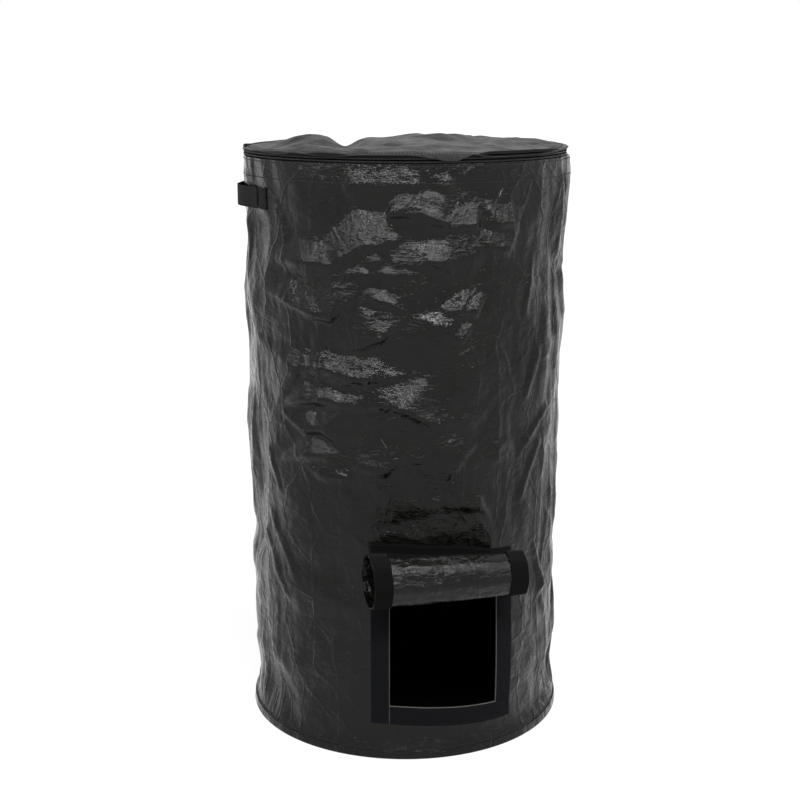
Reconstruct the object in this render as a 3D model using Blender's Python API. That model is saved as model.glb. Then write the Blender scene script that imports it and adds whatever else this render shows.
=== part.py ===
"""A collapsible compost bin sewn from coated woven sheet.

The bin is a tall open-ended tube of sheet on a round floor panel. A round lid is
joined to the rim by a curved zip and by a cloth hinge at the back. A doorway low
in the front is framed with hook tape and has a flap that is stored rolled up.
Two webbing handles are sewn to the sides.

Metres, +Z up. The origin is the middle of the underside of the floor panel.
The doorway faces -Y, the handles are at -X and +X, and the lid hinge is at +Y.
An azimuth is in degrees from the doorway, positive towards +X.
"""
import math

import bmesh
import bpy
from mathutils import Vector

# Tube and floor
WALL_RADIUS = 0.225
WALL_HEIGHT = 0.806
WALL_THICKNESS = 0.0010
FLOOR_THICKNESS = 0.0015
BINDING_HEIGHT = 0.010
BINDING_THICKNESS = 0.0014
SEAM_GAP = 0.0003
TAPE_THICKNESS = 0.0014

# Slack in the tube: where and how far the sheet is drawn in. The fold near the foot
# fades out towards the stiffer frame of the doorway.
SLACK_HEIGHT = 0.260
SLACK_REACH = 0.420
SLACK_DRAW = 0.0060
FOLD_NEAR_FOOT = 0.060
FOLD_REACH = 0.055
FOLD_DRAW = 0.0060
FOLD_FADE = 80.0

# Doorway, its frame of hook tape and its inner hem
DOOR_WIDTH = 0.158
DOOR_SILL = 0.0732
DOOR_HEAD = 0.2815
HOOK_WIDTH = 0.0255
HEAD_TAPE_WIDTH = 0.0255
DOOR_HEM_WIDTH = 0.012

# Rolled flap
FLAP_WIDTH = 0.218
FLAP_SHIFT = -0.006
FLAP_THICKNESS = 0.0012
LOOP_WIDTH = 0.030
LOOP_THICKNESS = 0.0015
ROLL_BELOW_HEAD = 0.0060
ROLL_RADIUS = 0.0385
ROLL_PITCH = 0.0060
ROLL_STANDOFF = 0.0095
FLAP_FOLDS = 8
FOLD_GAP = 0.0005
FOLD_FACETS = 5

# Rim, zip and lid
HEM_HEIGHT = 0.025
HEM_THICKNESS = 0.0010
ZIP_TAPE_THICKNESS = 0.0010
ZIP_TAPE_DEPTH = 0.014
COIL_WIDTH = 0.0030
COIL_DEPTH = 0.0025
STOP_LENGTH = 0.004
ZIP_END_TO_HINGE = 1.0
LID_HEM_HEIGHT = 0.0022
LID_THICKNESS = 0.0015
LID_CROWN = 0.006
LID_FOLD = 0.005
LID_FACETS = 60
LID_RINGS = 5
HINGE_HALF_SPAN = 22.0
HINGE_TAPE_HEIGHT = 0.026
HINGE_SLACK = 0.0050

# Slider and pull
SLIDER_LENGTH = 0.010
SLIDER_PARK_GAP = 0.004
SLIDER_PLATE = 0.0012
SLIDER_LIP = 0.0015
SLIDER_RUNNING_GAP = 0.0005
SLIDER_WEB = 0.0004
SLIDER_NOSE = 0.72
METAL_ROUNDING = 0.0002
CROWN_WIDTH = 0.0026
CROWN_BAR = 0.0011
CROWN_HEIGHT = 0.0070
PULL_BAR = 0.0012
PULL_THICKNESS = 0.0012
PULL_WIDTH = 0.0084
PULL_LENGTH = 0.027
PULL_WINDOW = 0.0056
PULL_GAP = 0.0004

# Handles
HANDLE_WIDTH = 0.028
HANDLE_THICKNESS = 0.0018
HANDLE_BELOW_RIM = 0.052
HANDLE_HALF_SPAN = 21.0
HANDLE_TAB_SPAN = 5.5
HANDLE_BULGE = 0.0085
HANDLE_STEPS = 12
HANDLE_END_GAP = 0.0004

# Back seam of the tube
SEAM_HALF_SPAN = 3.0

# The widest and tallest facets of the tube, and the widest ones of the rim's bands
WIDEST_FACET = 7.0
TALLEST_FACET = 0.100
RIM_FACET = 4.0

# Colours, roughness and metallic value of each finish
FINISHES = {
    "coated_sheet": ((0.026, 0.026, 0.025), 0.34, 0.0),
    "seam_tape": ((0.018, 0.018, 0.018), 0.60, 0.0),
    "hook_tape": ((0.010, 0.011, 0.012), 0.85, 0.0),
    "loop_tape": ((0.008, 0.008, 0.009), 0.95, 0.0),
    "webbing": ((0.020, 0.020, 0.021), 0.70, 0.0),
    "zip_tape": ((0.012, 0.012, 0.013), 0.80, 0.0),
    "zip_coil": ((0.015, 0.015, 0.016), 0.45, 0.0),
    "slider_metal": ((0.030, 0.030, 0.032), 0.35, 0.8),
}


# Places that follow from the sizes

WALL_FOOT = FLOOR_THICKNESS + SEAM_GAP
DOOR_HALF_SPAN = math.degrees(DOOR_WIDTH / 2 / WALL_RADIUS)
FRAME_HALF_SPAN = DOOR_HALF_SPAN + math.degrees(HOOK_WIDTH / WALL_RADIUS)
FRAME_FOOT = DOOR_SILL - HOOK_WIDTH
HEAD_TAPE_TOP = DOOR_HEAD + HEAD_TAPE_WIDTH
ROLL_HEIGHT = DOOR_HEAD - ROLL_BELOW_HEAD
HANDLE_HEIGHT = WALL_HEIGHT - HANDLE_BELOW_RIM

COIL_OUTER = WALL_RADIUS
COIL_INNER = COIL_OUTER - COIL_DEPTH
ZIP_TAPE_OUTER = COIL_INNER - SEAM_GAP
ZIP_TAPE_INNER = ZIP_TAPE_OUTER - ZIP_TAPE_THICKNESS
LOWER_COIL_FOOT = WALL_HEIGHT + SEAM_GAP * 2
LOWER_COIL_TOP = LOWER_COIL_FOOT + COIL_WIDTH
UPPER_COIL_FOOT = LOWER_COIL_TOP + SLIDER_WEB + SEAM_GAP * 2
UPPER_COIL_TOP = UPPER_COIL_FOOT + COIL_WIDTH
LID_HEM_FOOT = UPPER_COIL_TOP + SEAM_GAP
LID_HEM_TOP = LID_HEM_FOOT + LID_HEM_HEIGHT
LID_FOOT = LID_HEM_TOP + SEAM_GAP
HINGE_Y = WALL_RADIUS + HINGE_SLACK
HINGE_Z = LID_FOOT

# Azimuths of the ends of the zip. The slider parks behind the end of the lid's half.
STOP_SPAN = math.degrees(STOP_LENGTH / WALL_RADIUS)
SLIDER_SPAN = math.degrees(SLIDER_LENGTH / WALL_RADIUS)
SEAM_SPAN = math.degrees(SEAM_GAP / WALL_RADIUS)
LOWER_ZIP_END = 180 - HINGE_HALF_SPAN - ZIP_END_TO_HINGE
LOWER_COIL_END = LOWER_ZIP_END - STOP_SPAN - SEAM_SPAN
SLIDER_PARK = LOWER_COIL_END - SLIDER_SPAN / 2
UPPER_ZIP_END = SLIDER_PARK - SLIDER_SPAN / 2 - math.degrees(SLIDER_PARK_GAP / WALL_RADIUS)


def evenly(low, high, widest):
    """Values from low to high, with steps no wider than widest."""
    steps = max(1, math.ceil((high - low) / widest - 1e-9))
    return [low + (high - low) * i / steps for i in range(steps + 1)]


def through(marks, widest):
    """The marks, with values between them no further apart than widest."""
    values = marks[:1]
    for low, high in zip(marks, marks[1:]):
        values += evenly(low, high, widest)[1:]
    return values


def facet_azimuths():
    """The azimuths where the tube's flat facets meet. Most sewn-on pieces end on one."""
    handle = (HANDLE_HALF_SPAN, HANDLE_HALF_SPAN - HANDLE_TAB_SPAN)
    marks = [0.0, DOOR_HALF_SPAN, FRAME_HALF_SPAN]
    marks += [90 - handle[0], 90 - handle[1], 90 + handle[1], 90 + handle[0]]
    marks += [180 - HINGE_HALF_SPAN, 180 - SEAM_HALF_SPAN, 180.0]
    half = through(marks, WIDEST_FACET)
    return [-a for a in reversed(half)] + half[1:]


def facet_heights():
    """The heights where the tube's flat facets meet."""
    marks = [WALL_FOOT, FRAME_FOOT, DOOR_SILL, DOOR_HEAD, HEAD_TAPE_TOP, WALL_HEIGHT]
    return through(marks, TALLEST_FACET)


def bump(value, centre, reach):
    """A smooth hump: 1 at the centre, 0 from reach away."""
    share = min(1.0, abs(value - centre) / reach)
    return 0.5 + 0.5 * math.cos(math.pi * share)


def slack_radius(azimuth, height):
    """Radius of the tube's outer face before it is cut into facets."""
    away = 1 - bump(azimuth, 0, FOLD_FADE)
    slack = SLACK_DRAW * bump(height, SLACK_HEIGHT, SLACK_REACH)
    return WALL_RADIUS - slack - away * FOLD_DRAW * bump(height, FOLD_NEAR_FOOT, FOLD_REACH)


AZIMUTHS = facet_azimuths()
HEIGHTS = facet_heights()


def at(azimuth, radius, height):
    """The point at an azimuth, a distance from the bin's axis and a height."""
    turn = math.radians(azimuth)
    return Vector((radius * math.sin(turn), -radius * math.cos(turn), height))


def below(values, value):
    """The step of a rising list that a value lies in, and its share of that step."""
    for low, high in zip(values, values[1:]):
        if value <= high:
            break
    return low, high, (value - low) / (high - low)


def facet_radius(azimuth, height):
    """Radius of the tube's outer face where two facets meet at an azimuth."""
    low, high, share = below(HEIGHTS, min(max(height, HEIGHTS[0]), HEIGHTS[-1]))
    foot = slack_radius(azimuth, low)
    return foot + (slack_radius(azimuth, high) - foot) * share


def wall_point(azimuth, height, offset=0.0):
    """A point on the faceted outer face of the tube, or offset outwards from it."""
    low, high, share = below(AZIMUTHS, azimuth)
    start = at(low, facet_radius(low, height) + offset, height)
    return start.lerp(at(high, facet_radius(high, height) + offset, height), share)


# Object making

def clear_scene():
    for old in list(bpy.data.objects):
        bpy.data.objects.remove(old)


def make_finishes():
    made = {}
    for name, (colour, roughness, metallic) in FINISHES.items():
        finish = bpy.data.materials.new(name)
        finish.use_nodes = True
        shader = finish.node_tree.nodes["Principled BSDF"]
        shader.inputs["Base Color"].default_value = (*colour, 1.0)
        shader.inputs["Roughness"].default_value = roughness
        shader.inputs["Metallic"].default_value = metallic
        made[name] = finish
    return made


def new_object(name, bm, finish, parent=None, origin=Vector()):
    """A mesh object from bm, whose points are in world space. Its origin is put at origin."""
    bmesh.ops.remove_doubles(bm, verts=bm.verts, dist=1e-6)
    bmesh.ops.recalc_face_normals(bm, faces=bm.faces)
    bmesh.ops.translate(bm, verts=bm.verts, vec=-origin)
    mesh = bpy.data.meshes.new(name)
    bm.to_mesh(mesh)
    bm.free()
    mesh.materials.append(FINISH[finish])
    mesh.shade_smooth()
    mesh.set_sharp_from_angle(angle=math.radians(30))
    obj = bpy.data.objects.new(name, mesh)
    bpy.context.collection.objects.link(obj)
    obj.location = origin
    if parent:
        attach(obj, parent)
    return obj


def pivot(name, place, parent=None):
    """An empty on a joint's axis."""
    empty = bpy.data.objects.new(name, None)
    empty.empty_display_size = 0.02
    bpy.context.collection.objects.link(empty)
    empty.location = place
    if parent:
        attach(empty, parent)
    return empty


def attach(obj, parent):
    """Parents obj and keeps its place. No pivot in the chain is turned."""
    above = Vector()
    holder = parent
    while holder:
        above += holder.location
        holder = holder.parent
    obj.parent = parent
    obj.location = obj.location - above


def solidify(obj, thickness, outwards):
    """Gives a single surface its thickness, on the outer or the inner side."""
    shell = obj.modifiers.new("thickness", "SOLIDIFY")
    shell.thickness = thickness
    shell.offset = 1.0 if outwards else -1.0
    shell.use_even_offset = True
    return obj


def soften(obj, width):
    """Rounds off the outer edges."""
    edge = obj.modifiers.new("edges", "BEVEL")
    edge.width = width
    edge.segments = 1
    edge.limit_method = "ANGLE"
    edge.angle_limit = math.radians(40)
    return obj


def within(values, low, high):
    """low, the values between low and high, and high."""
    return [low] + [v for v in values if low + 1e-6 < v < high - 1e-6] + [high]


def on_the_wall(name, span, rise, offset, thickness, finish, hole=None, outwards=True):
    """A piece of sheet or tape that follows the tube's facets, offset from its outer face.

    span and rise are its lowest and highest azimuth and height, and hole is the same
    pair of pairs for an opening in it.
    """
    azimuths = within(AZIMUTHS, *span)
    heights = within(HEIGHTS, *rise)
    if hole:
        heights = sorted({*heights, *hole[1]})
    bm = bmesh.new()
    rows = []
    for height in heights:
        rows.append([bm.verts.new(wall_point(a, height, offset)) for a in azimuths])
    for j in range(len(heights) - 1):
        for i in range(len(azimuths) - 1):
            middle = ((azimuths[i] + azimuths[i + 1]) / 2, (heights[j] + heights[j + 1]) / 2)
            if hole and all(low < m < high for m, (low, high) in zip(middle, hole)):
                continue
            bm.faces.new((rows[j][i], rows[j][i + 1], rows[j + 1][i + 1], rows[j + 1][i]))
    loose = [v for v in bm.verts if not v.link_faces]
    bmesh.ops.delete(bm, geom=loose, context="VERTS")
    obj = new_object(name, bm, finish)
    face_outwards(obj)
    return solidify(obj, thickness, outwards)


def face_outwards(obj):
    """Turns an open surface round if its faces point at the bin's axis."""
    leaning = sum(p.normal.dot(Vector((p.center.x, p.center.y, 0))) for p in obj.data.polygons)
    if leaning < 0:
        obj.data.flip_normals()


def rim_band(name, radii, heights, finish, middle=0.0, half_span=None, parent=None, origin=Vector()):
    """A band of rectangular section round the rim: a whole ring, or an arc about a middle azimuth."""
    inner, outer = radii
    low, high = heights
    section = ((inner, low), (outer, low), (outer, high), (inner, high))
    if half_span is None:
        azimuths = evenly(0, 360, RIM_FACET)[:-1]
    else:
        azimuths = evenly(middle - half_span, middle + half_span, RIM_FACET)
    bm = bmesh.new()
    rows = [[bm.verts.new(at(a, radius, height)) for radius, height in section] for a in azimuths]
    nexts = rows[1:] + rows[:1] if half_span is None else rows[1:]
    for row, after in zip(rows, nexts):
        for i in range(4):
            j = (i + 1) % 4
            bm.faces.new((row[i], row[j], after[j], after[i]))
    if half_span is not None:
        bm.faces.new(rows[0])
        bm.faces.new(rows[-1])
    return new_object(name, bm, finish, parent, origin)


def extruded(name, outline, push, finish, parent=None, origin=Vector()):
    """A flat outline pushed along a vector into a closed solid."""
    bm = bmesh.new()
    face = bm.faces.new([bm.verts.new(p) for p in outline])
    made = bmesh.ops.extrude_face_region(bm, geom=[face], use_keep_orig=True)
    moved = [g for g in made["geom"] if isinstance(g, bmesh.types.BMVert)]
    bmesh.ops.translate(bm, verts=moved, vec=push)
    return new_object(name, bm, finish, parent, origin)


# Tube, floor and their seams

def make_floor():
    bm = bmesh.new()
    outline = [wall_point(a, WALL_FOOT) for a in AZIMUTHS[:-1]]
    bm.faces.new([bm.verts.new((p.x, p.y, 0)) for p in outline])
    floor = new_object("floor_panel", bm, "coated_sheet")
    solidify(floor, FLOOR_THICKNESS, outwards=floor.data.polygons[0].normal.z > 0)


def make_wall():
    door = ((-DOOR_HALF_SPAN, DOOR_HALF_SPAN), (DOOR_SILL, DOOR_HEAD))
    on_the_wall(
        "wall_panel", (-180, 180), (WALL_FOOT, WALL_HEIGHT), 0, WALL_THICKNESS,
        "coated_sheet", hole=door, outwards=False,
    )


def make_binding():
    """The folded tape round the foot, which covers the seam of tube and floor."""
    rise = (SEAM_GAP, BINDING_HEIGHT)
    on_the_wall("floor_binding", (-180, 180), rise, SEAM_GAP, BINDING_THICKNESS, "seam_tape")


def make_back_seam():
    on_the_wall(
        "wall_back_seam", (180 - SEAM_HALF_SPAN, 180 + SEAM_HALF_SPAN),
        (BINDING_HEIGHT + SEAM_GAP, WALL_HEIGHT - HINGE_TAPE_HEIGHT - SEAM_GAP),
        SEAM_GAP, TAPE_THICKNESS, "coated_sheet",
    )


# Doorway

def make_door_frame():
    left = (-FRAME_HALF_SPAN, -DOOR_HALF_SPAN)
    right = (DOOR_HALF_SPAN, FRAME_HALF_SPAN)
    sill = (-DOOR_HALF_SPAN, FRAME_HALF_SPAN)
    head = (-FRAME_HALF_SPAN, FRAME_HALF_SPAN)
    side_top = DOOR_HEAD - SEAM_GAP
    strips = (
        ("hook_tape_left", left, (FRAME_FOOT, side_top), "hook_tape"),
        ("hook_tape_right", right, (DOOR_SILL + SEAM_GAP, side_top), "hook_tape"),
        ("hook_tape_sill", sill, (FRAME_FOOT, DOOR_SILL), "hook_tape"),
        ("flap_head_tape", head, (DOOR_HEAD, HEAD_TAPE_TOP), "loop_tape"),
    )
    for name, span, rise, finish in strips:
        on_the_wall(name, span, rise, SEAM_GAP, TAPE_THICKNESS, finish)


def make_door_hem():
    """The turned-in edge of the sheet, sewn flat round the doorway on the inside."""
    hem = math.degrees(DOOR_HEM_WIDTH / WALL_RADIUS)
    outer_span = (-DOOR_HALF_SPAN - hem, DOOR_HALF_SPAN + hem)
    outer_rise = (DOOR_SILL - DOOR_HEM_WIDTH, DOOR_HEAD + DOOR_HEM_WIDTH)
    doorway = ((-DOOR_HALF_SPAN, DOOR_HALF_SPAN), (DOOR_SILL, DOOR_HEAD))
    inside = -WALL_THICKNESS - SEAM_GAP * 2
    on_the_wall(
        "door_hem", outer_span, outer_rise, inside, WALL_THICKNESS, "coated_sheet",
        hole=doorway, outwards=False,
    )


# Flap, stored as a roll that starts at a straight line across the top of the doorway.
# The loop tape is on the outside of the roll, so that it meets the hook tape below.

FLAP_DROP = ROLL_HEIGHT - FRAME_FOOT
FOLD_LENGTH = FLAP_DROP / FLAP_FOLDS
ROLL_SHRINK = ROLL_PITCH / (2 * math.pi)
ROLL_BACK = facet_radius(0.0, ROLL_HEIGHT) + ROLL_STANDOFF
FLAP_LEFT = FLAP_SHIFT - FLAP_WIDTH / 2
FLAP_RIGHT = FLAP_SHIFT + FLAP_WIDTH / 2
SHEET_DEPTH = LOOP_THICKNESS + SEAM_GAP


def roll_point(length, depth=0.0):
    """A point of the rolled flap after a length of it, at a depth in from the roll's outside.

    The roll is an even spiral. It starts level with its own middle, at its back.
    """
    turn = (ROLL_RADIUS - math.sqrt(ROLL_RADIUS**2 - 2 * ROLL_SHRINK * length)) / ROLL_SHRINK
    radius = ROLL_RADIUS - ROLL_SHRINK * turn - depth
    front = ROLL_BACK + ROLL_RADIUS - radius * math.cos(turn)
    return Vector((0, -front, ROLL_HEIGHT - radius * math.sin(turn)))


def rolled_piece(name, fold, across, depths, finish, parent):
    """A piece of one fold of the flap, between two depths, over a range of x."""
    first = fold * FOLD_LENGTH + FOLD_GAP / 2
    last = (fold + 1) * FOLD_LENGTH - FOLD_GAP / 2
    lengths = [first + (last - first) * i / FOLD_FACETS for i in range(FOLD_FACETS + 1)]
    outer = [roll_point(length, depths[0]) for length in lengths]
    inner = [roll_point(length, depths[1]) for length in reversed(lengths)]
    outline = [p + Vector((across[0], 0, 0)) for p in outer + inner]
    push = Vector((across[1] - across[0], 0, 0))
    return extruded(name, outline, push, finish, parent, roll_point(fold * FOLD_LENGTH))


def make_flap():
    """The folds, each hinged to the one before along a line across the flap."""
    sheet = (SHEET_DEPTH, SHEET_DEPTH + FLAP_THICKNESS)
    loop = (0.0, LOOP_THICKNESS)
    edges = (
        ("left", (FLAP_LEFT, FLAP_LEFT + LOOP_WIDTH)),
        ("right", (FLAP_RIGHT - LOOP_WIDTH, FLAP_RIGHT)),
    )
    above = None
    for fold in range(FLAP_FOLDS):
        number = fold + 1
        above = pivot(f"flap_pivot_{number}", roll_point(fold * FOLD_LENGTH), above)
        whole = (FLAP_LEFT, FLAP_RIGHT)
        rolled_piece(f"flap_sheet_{number}", fold, whole, sheet, "coated_sheet", above)
        if number == FLAP_FOLDS:
            rolled_piece("flap_loop_foot", fold, whole, loop, "loop_tape", above)
            continue
        for side, edge in edges:
            rolled_piece(f"flap_loop_{side}_{number}", fold, edge, loop, "loop_tape", above)


def make_flap_header():
    """The sheet from the seam on the curved head tape to the straight line where the roll starts."""
    columns = within(AZIMUTHS, -FRAME_HALF_SPAN, FRAME_HALF_SPAN)
    seam_offset = SEAM_GAP * 2 + TAPE_THICKNESS
    seam_height = DOOR_HEAD + HEAD_TAPE_WIDTH / 2
    bm = bmesh.new()
    upper, lower = [], []
    for azimuth in columns:
        share = (azimuth / FRAME_HALF_SPAN + 1) / 2
        across = FLAP_LEFT + (FLAP_RIGHT - FLAP_LEFT) * share
        upper.append(bm.verts.new(wall_point(azimuth, seam_height, seam_offset)))
        lower.append(bm.verts.new((across, -ROLL_BACK - SHEET_DEPTH, ROLL_HEIGHT + FOLD_GAP / 2)))
    for i in range(len(columns) - 1):
        bm.faces.new((lower[i], lower[i + 1], upper[i + 1], upper[i]))
    header = new_object("flap_header", bm, "coated_sheet")
    face_outwards(header)
    solidify(header, FLAP_THICKNESS, outwards=True)


# Rim and zip

COIL = (COIL_INNER, COIL_OUTER)
ZIP_TAPE = (ZIP_TAPE_INNER, ZIP_TAPE_OUTER)
HINGE_TAPE = (WALL_RADIUS + SEAM_GAP, WALL_RADIUS + SEAM_GAP + TAPE_THICKNESS)


def make_rim():
    hem_outer = ZIP_TAPE_INNER - SEAM_GAP
    hem_top = WALL_HEIGHT - SLIDER_LIP - SLIDER_RUNNING_GAP
    hem = (hem_outer - HEM_THICKNESS, hem_outer)
    rim_band("rim_hem", hem, (hem_top - HEM_HEIGHT, hem_top), "coated_sheet")
    tape_rise = (LOWER_COIL_TOP - ZIP_TAPE_DEPTH, LOWER_COIL_TOP)
    rim_band("zip_tape_lower", ZIP_TAPE, tape_rise, "zip_tape", half_span=LOWER_ZIP_END)
    coil_rise = (LOWER_COIL_FOOT, LOWER_COIL_TOP)
    rim_band("zip_coil_lower", COIL, coil_rise, "zip_coil", half_span=LOWER_COIL_END)
    stop_rise = (LOWER_COIL_FOOT, UPPER_COIL_FOOT)
    for name, side in (("zip_stop_closed", 1), ("zip_stop_open", -1)):
        middle = side * (LOWER_ZIP_END - STOP_SPAN / 2)
        rim_band(name, COIL, stop_rise, "slider_metal", middle, STOP_SPAN / 2)


def make_lid_hinge_tape():
    """The lower half of the cloth hinge, sewn over the rim at the back."""
    rise = (WALL_HEIGHT - HINGE_TAPE_HEIGHT, LOWER_COIL_FOOT)
    rim_band("lid_hinge_tape_lower", HINGE_TAPE, rise, "seam_tape", 180.0, HINGE_HALF_SPAN)


# Lid

def lid_rise(radius, azimuth):
    """How far the slack lid panel stands above its rim."""
    share = radius / WALL_RADIUS
    crown = LID_CROWN * (1 - share**2)
    fold = math.cos(math.radians(2 * azimuth + 70)) + 0.6 * math.cos(math.radians(3 * azimuth - 40))
    return crown + LID_FOLD * fold * share * (1 - share**4)


def make_lid():
    origin = Vector((0, HINGE_Y, HINGE_Z))
    hinge = pivot("lid_pivot", origin)
    make_lid_panel(hinge, origin)
    bands = (
        ("lid_hem", COIL, (LID_HEM_FOOT, LID_HEM_TOP), "coated_sheet", 0, None),
        ("zip_tape_upper", ZIP_TAPE, (UPPER_COIL_FOOT, LID_HEM_TOP), "zip_tape", 0, UPPER_ZIP_END),
        ("zip_coil_upper", COIL, (UPPER_COIL_FOOT, UPPER_COIL_TOP), "zip_coil", 0, UPPER_ZIP_END),
        ("lid_hinge_tape_upper", HINGE_TAPE, (LOWER_COIL_FOOT + SEAM_GAP, LID_HEM_TOP),
         "seam_tape", 180.0, HINGE_HALF_SPAN),
    )
    for name, radii, rise, finish, middle, half_span in bands:
        rim_band(name, radii, rise, finish, middle, half_span, hinge, origin)


def make_lid_panel(parent, origin):
    azimuths = [360 * i / LID_FACETS for i in range(LID_FACETS)]
    top = LID_FOOT + LID_THICKNESS
    bm = bmesh.new()
    middle = bm.verts.new((0, 0, top + lid_rise(0, 0)))
    rings = []
    for k in range(1, LID_RINGS + 1):
        radius = WALL_RADIUS * k / LID_RINGS
        rings.append([bm.verts.new(at(a, radius, top + lid_rise(radius, a))) for a in azimuths])
    for i in range(LID_FACETS):
        j = (i + 1) % LID_FACETS
        bm.faces.new((middle, rings[0][i], rings[0][j]))
        for inner, outer in zip(rings, rings[1:]):
            bm.faces.new((inner[i], outer[i], outer[j], inner[j]))
    panel = new_object("lid_panel", bm, "coated_sheet", parent, origin)
    if panel.data.polygons[0].normal.z < 0:
        panel.data.flip_normals()
    solidify(panel, LID_THICKNESS, outwards=False)


# Slider and pull, modelled at the front and then turned to where the slider is parked

def make_slider():
    parked = pivot("slider_pivot", Vector((0, 0, 0)))
    parked.rotation_euler.z = math.radians(SLIDER_PARK)
    inner_face = ZIP_TAPE_INNER - SLIDER_RUNNING_GAP
    outer_face = COIL_OUTER + SLIDER_RUNNING_GAP
    low = LOWER_COIL_FOOT - SLIDER_LIP
    high = UPPER_COIL_TOP + SLIDER_LIP
    middle = (LOWER_COIL_TOP + UPPER_COIL_FOOT) / 2
    web = SLIDER_WEB / 2
    section = [
        (inner_face - SLIDER_PLATE, low), (inner_face, low), (inner_face, middle - web),
        (outer_face, middle - web), (outer_face, low), (outer_face + SLIDER_PLATE, low),
        (outer_face + SLIDER_PLATE, high), (outer_face, high), (outer_face, middle + web),
        (inner_face, middle + web), (inner_face, high), (inner_face - SLIDER_PLATE, high),
    ]
    outline = [Vector((-SLIDER_LENGTH / 2, -s, z)) for s, z in section]
    body = extruded("zip_slider", outline, Vector((SLIDER_LENGTH, 0, 0)), "slider_metal", parked)
    for vertex in body.data.vertices:
        if vertex.co.x > 0 and abs(vertex.co.z - middle) > SLIDER_WEB:
            vertex.co.z = middle + (vertex.co.z - middle) * SLIDER_NOSE
    soften(body, METAL_ROUNDING)
    face = outer_face + SLIDER_PLATE
    make_crown(parked, face, middle)
    make_pull(parked, face, middle)


def make_crown(parent, face, middle):
    """The arch on the slider that the pull's bar runs under."""
    foot = face + SEAM_GAP
    reach = PULL_BAR + PULL_GAP * 2 + CROWN_BAR
    half = CROWN_HEIGHT / 2
    inner = half - CROWN_BAR
    section = [
        (foot, -half), (foot + reach * 0.6, -half), (foot + reach, -half * 0.5),
        (foot + reach, half * 0.5), (foot + reach * 0.6, half), (foot, half), (foot, inner),
        (foot + reach - CROWN_BAR, inner), (foot + reach - CROWN_BAR, -inner), (foot, -inner),
    ]
    outline = [Vector((-CROWN_WIDTH / 2, -s, middle + z)) for s, z in section]
    push = Vector((CROWN_WIDTH, 0, 0))
    soften(extruded("zip_slider_crown", outline, push, "slider_metal", parent), METAL_ROUNDING)


def make_pull(parent, face, middle):
    """The pull tab: a plate with a window, whose top bar lies under the crown."""
    s = face + SEAM_GAP + PULL_GAP + PULL_BAR / 2
    bar = Vector((0, -s, middle))
    hinge = pivot("pull_pivot", bar, parent)
    half = PULL_WIDTH / 2
    bm = bmesh.new()
    rim = [(-half, PULL_BAR / 2), (half, PULL_BAR / 2), (half, -PULL_LENGTH), (-half, -PULL_LENGTH)]
    side = (PULL_WIDTH - CROWN_WIDTH) / 2 - PULL_GAP
    window = [(-half + side, -PULL_BAR / 2), (half - side, -PULL_BAR / 2),
              (half - side, -PULL_WINDOW), (-half + side, -PULL_WINDOW)]
    front = -PULL_THICKNESS / 2
    outer = [bm.verts.new((x, front, z)) for x, z in rim]
    inner = [bm.verts.new((x, front, z)) for x, z in window]
    for i in range(4):
        j = (i + 1) % 4
        bm.faces.new((outer[i], outer[j], inner[j], inner[i]))
    bmesh.ops.translate(bm, verts=bm.verts, vec=bar)
    plate = new_object("zip_pull", bm, "slider_metal", hinge, bar)
    solidify(plate, PULL_THICKNESS, outwards=plate.data.polygons[0].normal.y > 0)
    soften(plate, METAL_ROUNDING)


# Handles

def make_handles():
    for side, name in ((-1, "left"), (1, "right")):
        make_handle(side, name)


def make_handle(side, name):
    """A strap of webbing round the side, with a sewn tab at each end and a loose loop between."""
    rise = (HANDLE_HEIGHT - HANDLE_WIDTH / 2, HANDLE_HEIGHT + HANDLE_WIDTH / 2)
    inner = HANDLE_HALF_SPAN - HANDLE_TAB_SPAN
    for end, toward in (("front", -1), ("rear", 1)):
        edges = [side * (90 + toward * HANDLE_HALF_SPAN), side * (90 + toward * inner)]
        on_the_wall(
            f"handle_{name}_{end}_tab", (min(edges), max(edges)), rise, SEAM_GAP,
            HANDLE_THICKNESS, "webbing",
        )
    make_handle_loop(side, name, rise, inner)


def make_handle_loop(side, name, rise, inner):
    start = facet_radius(90, HANDLE_HEIGHT) + SEAM_GAP
    gap = math.degrees(HANDLE_END_GAP / start)
    reach = inner - gap
    axis = Vector((side * start * math.cos(math.radians(inner)), 0, rise[1]))
    hinge = pivot(f"handle_{name}_pivot", axis)
    bm = bmesh.new()
    low, high = [], []
    for i in range(HANDLE_STEPS + 1):
        share = 2 * i / HANDLE_STEPS - 1
        azimuth = side * 90 + reach * share
        radius = start + HANDLE_BULGE * bump(share, 0, 1)
        low.append(bm.verts.new(at(azimuth, radius, rise[0])))
        high.append(bm.verts.new(at(azimuth, radius, rise[1])))
    for i in range(HANDLE_STEPS):
        bm.faces.new((low[i], low[i + 1], high[i + 1], high[i]))
    loop = new_object(f"handle_{name}_loop", bm, "webbing", hinge, axis)
    outwards = sum(p.normal.x for p in loop.data.polygons) * side > 0
    if not outwards:
        loop.data.flip_normals()
    solidify(loop, HANDLE_THICKNESS, outwards=True)


clear_scene()
FINISH = make_finishes()
make_floor()
make_wall()
make_binding()
make_back_seam()
make_door_frame()
make_door_hem()
make_flap_header()
make_flap()
make_rim()
make_lid_hinge_tape()
make_lid()
make_slider()
make_handles()
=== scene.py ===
"""The looks of the compost bin: a tall bag sewn from coated woven sheet.

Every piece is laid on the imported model, in metres, with +Z up and the doorway at -Y.
An azimuth is in degrees from the doorway, positive towards +X.
"""
import math

import bpy
import numpy as np
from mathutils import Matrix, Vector
from mathutils.geometry import delaunay_2d_cdt


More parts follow.
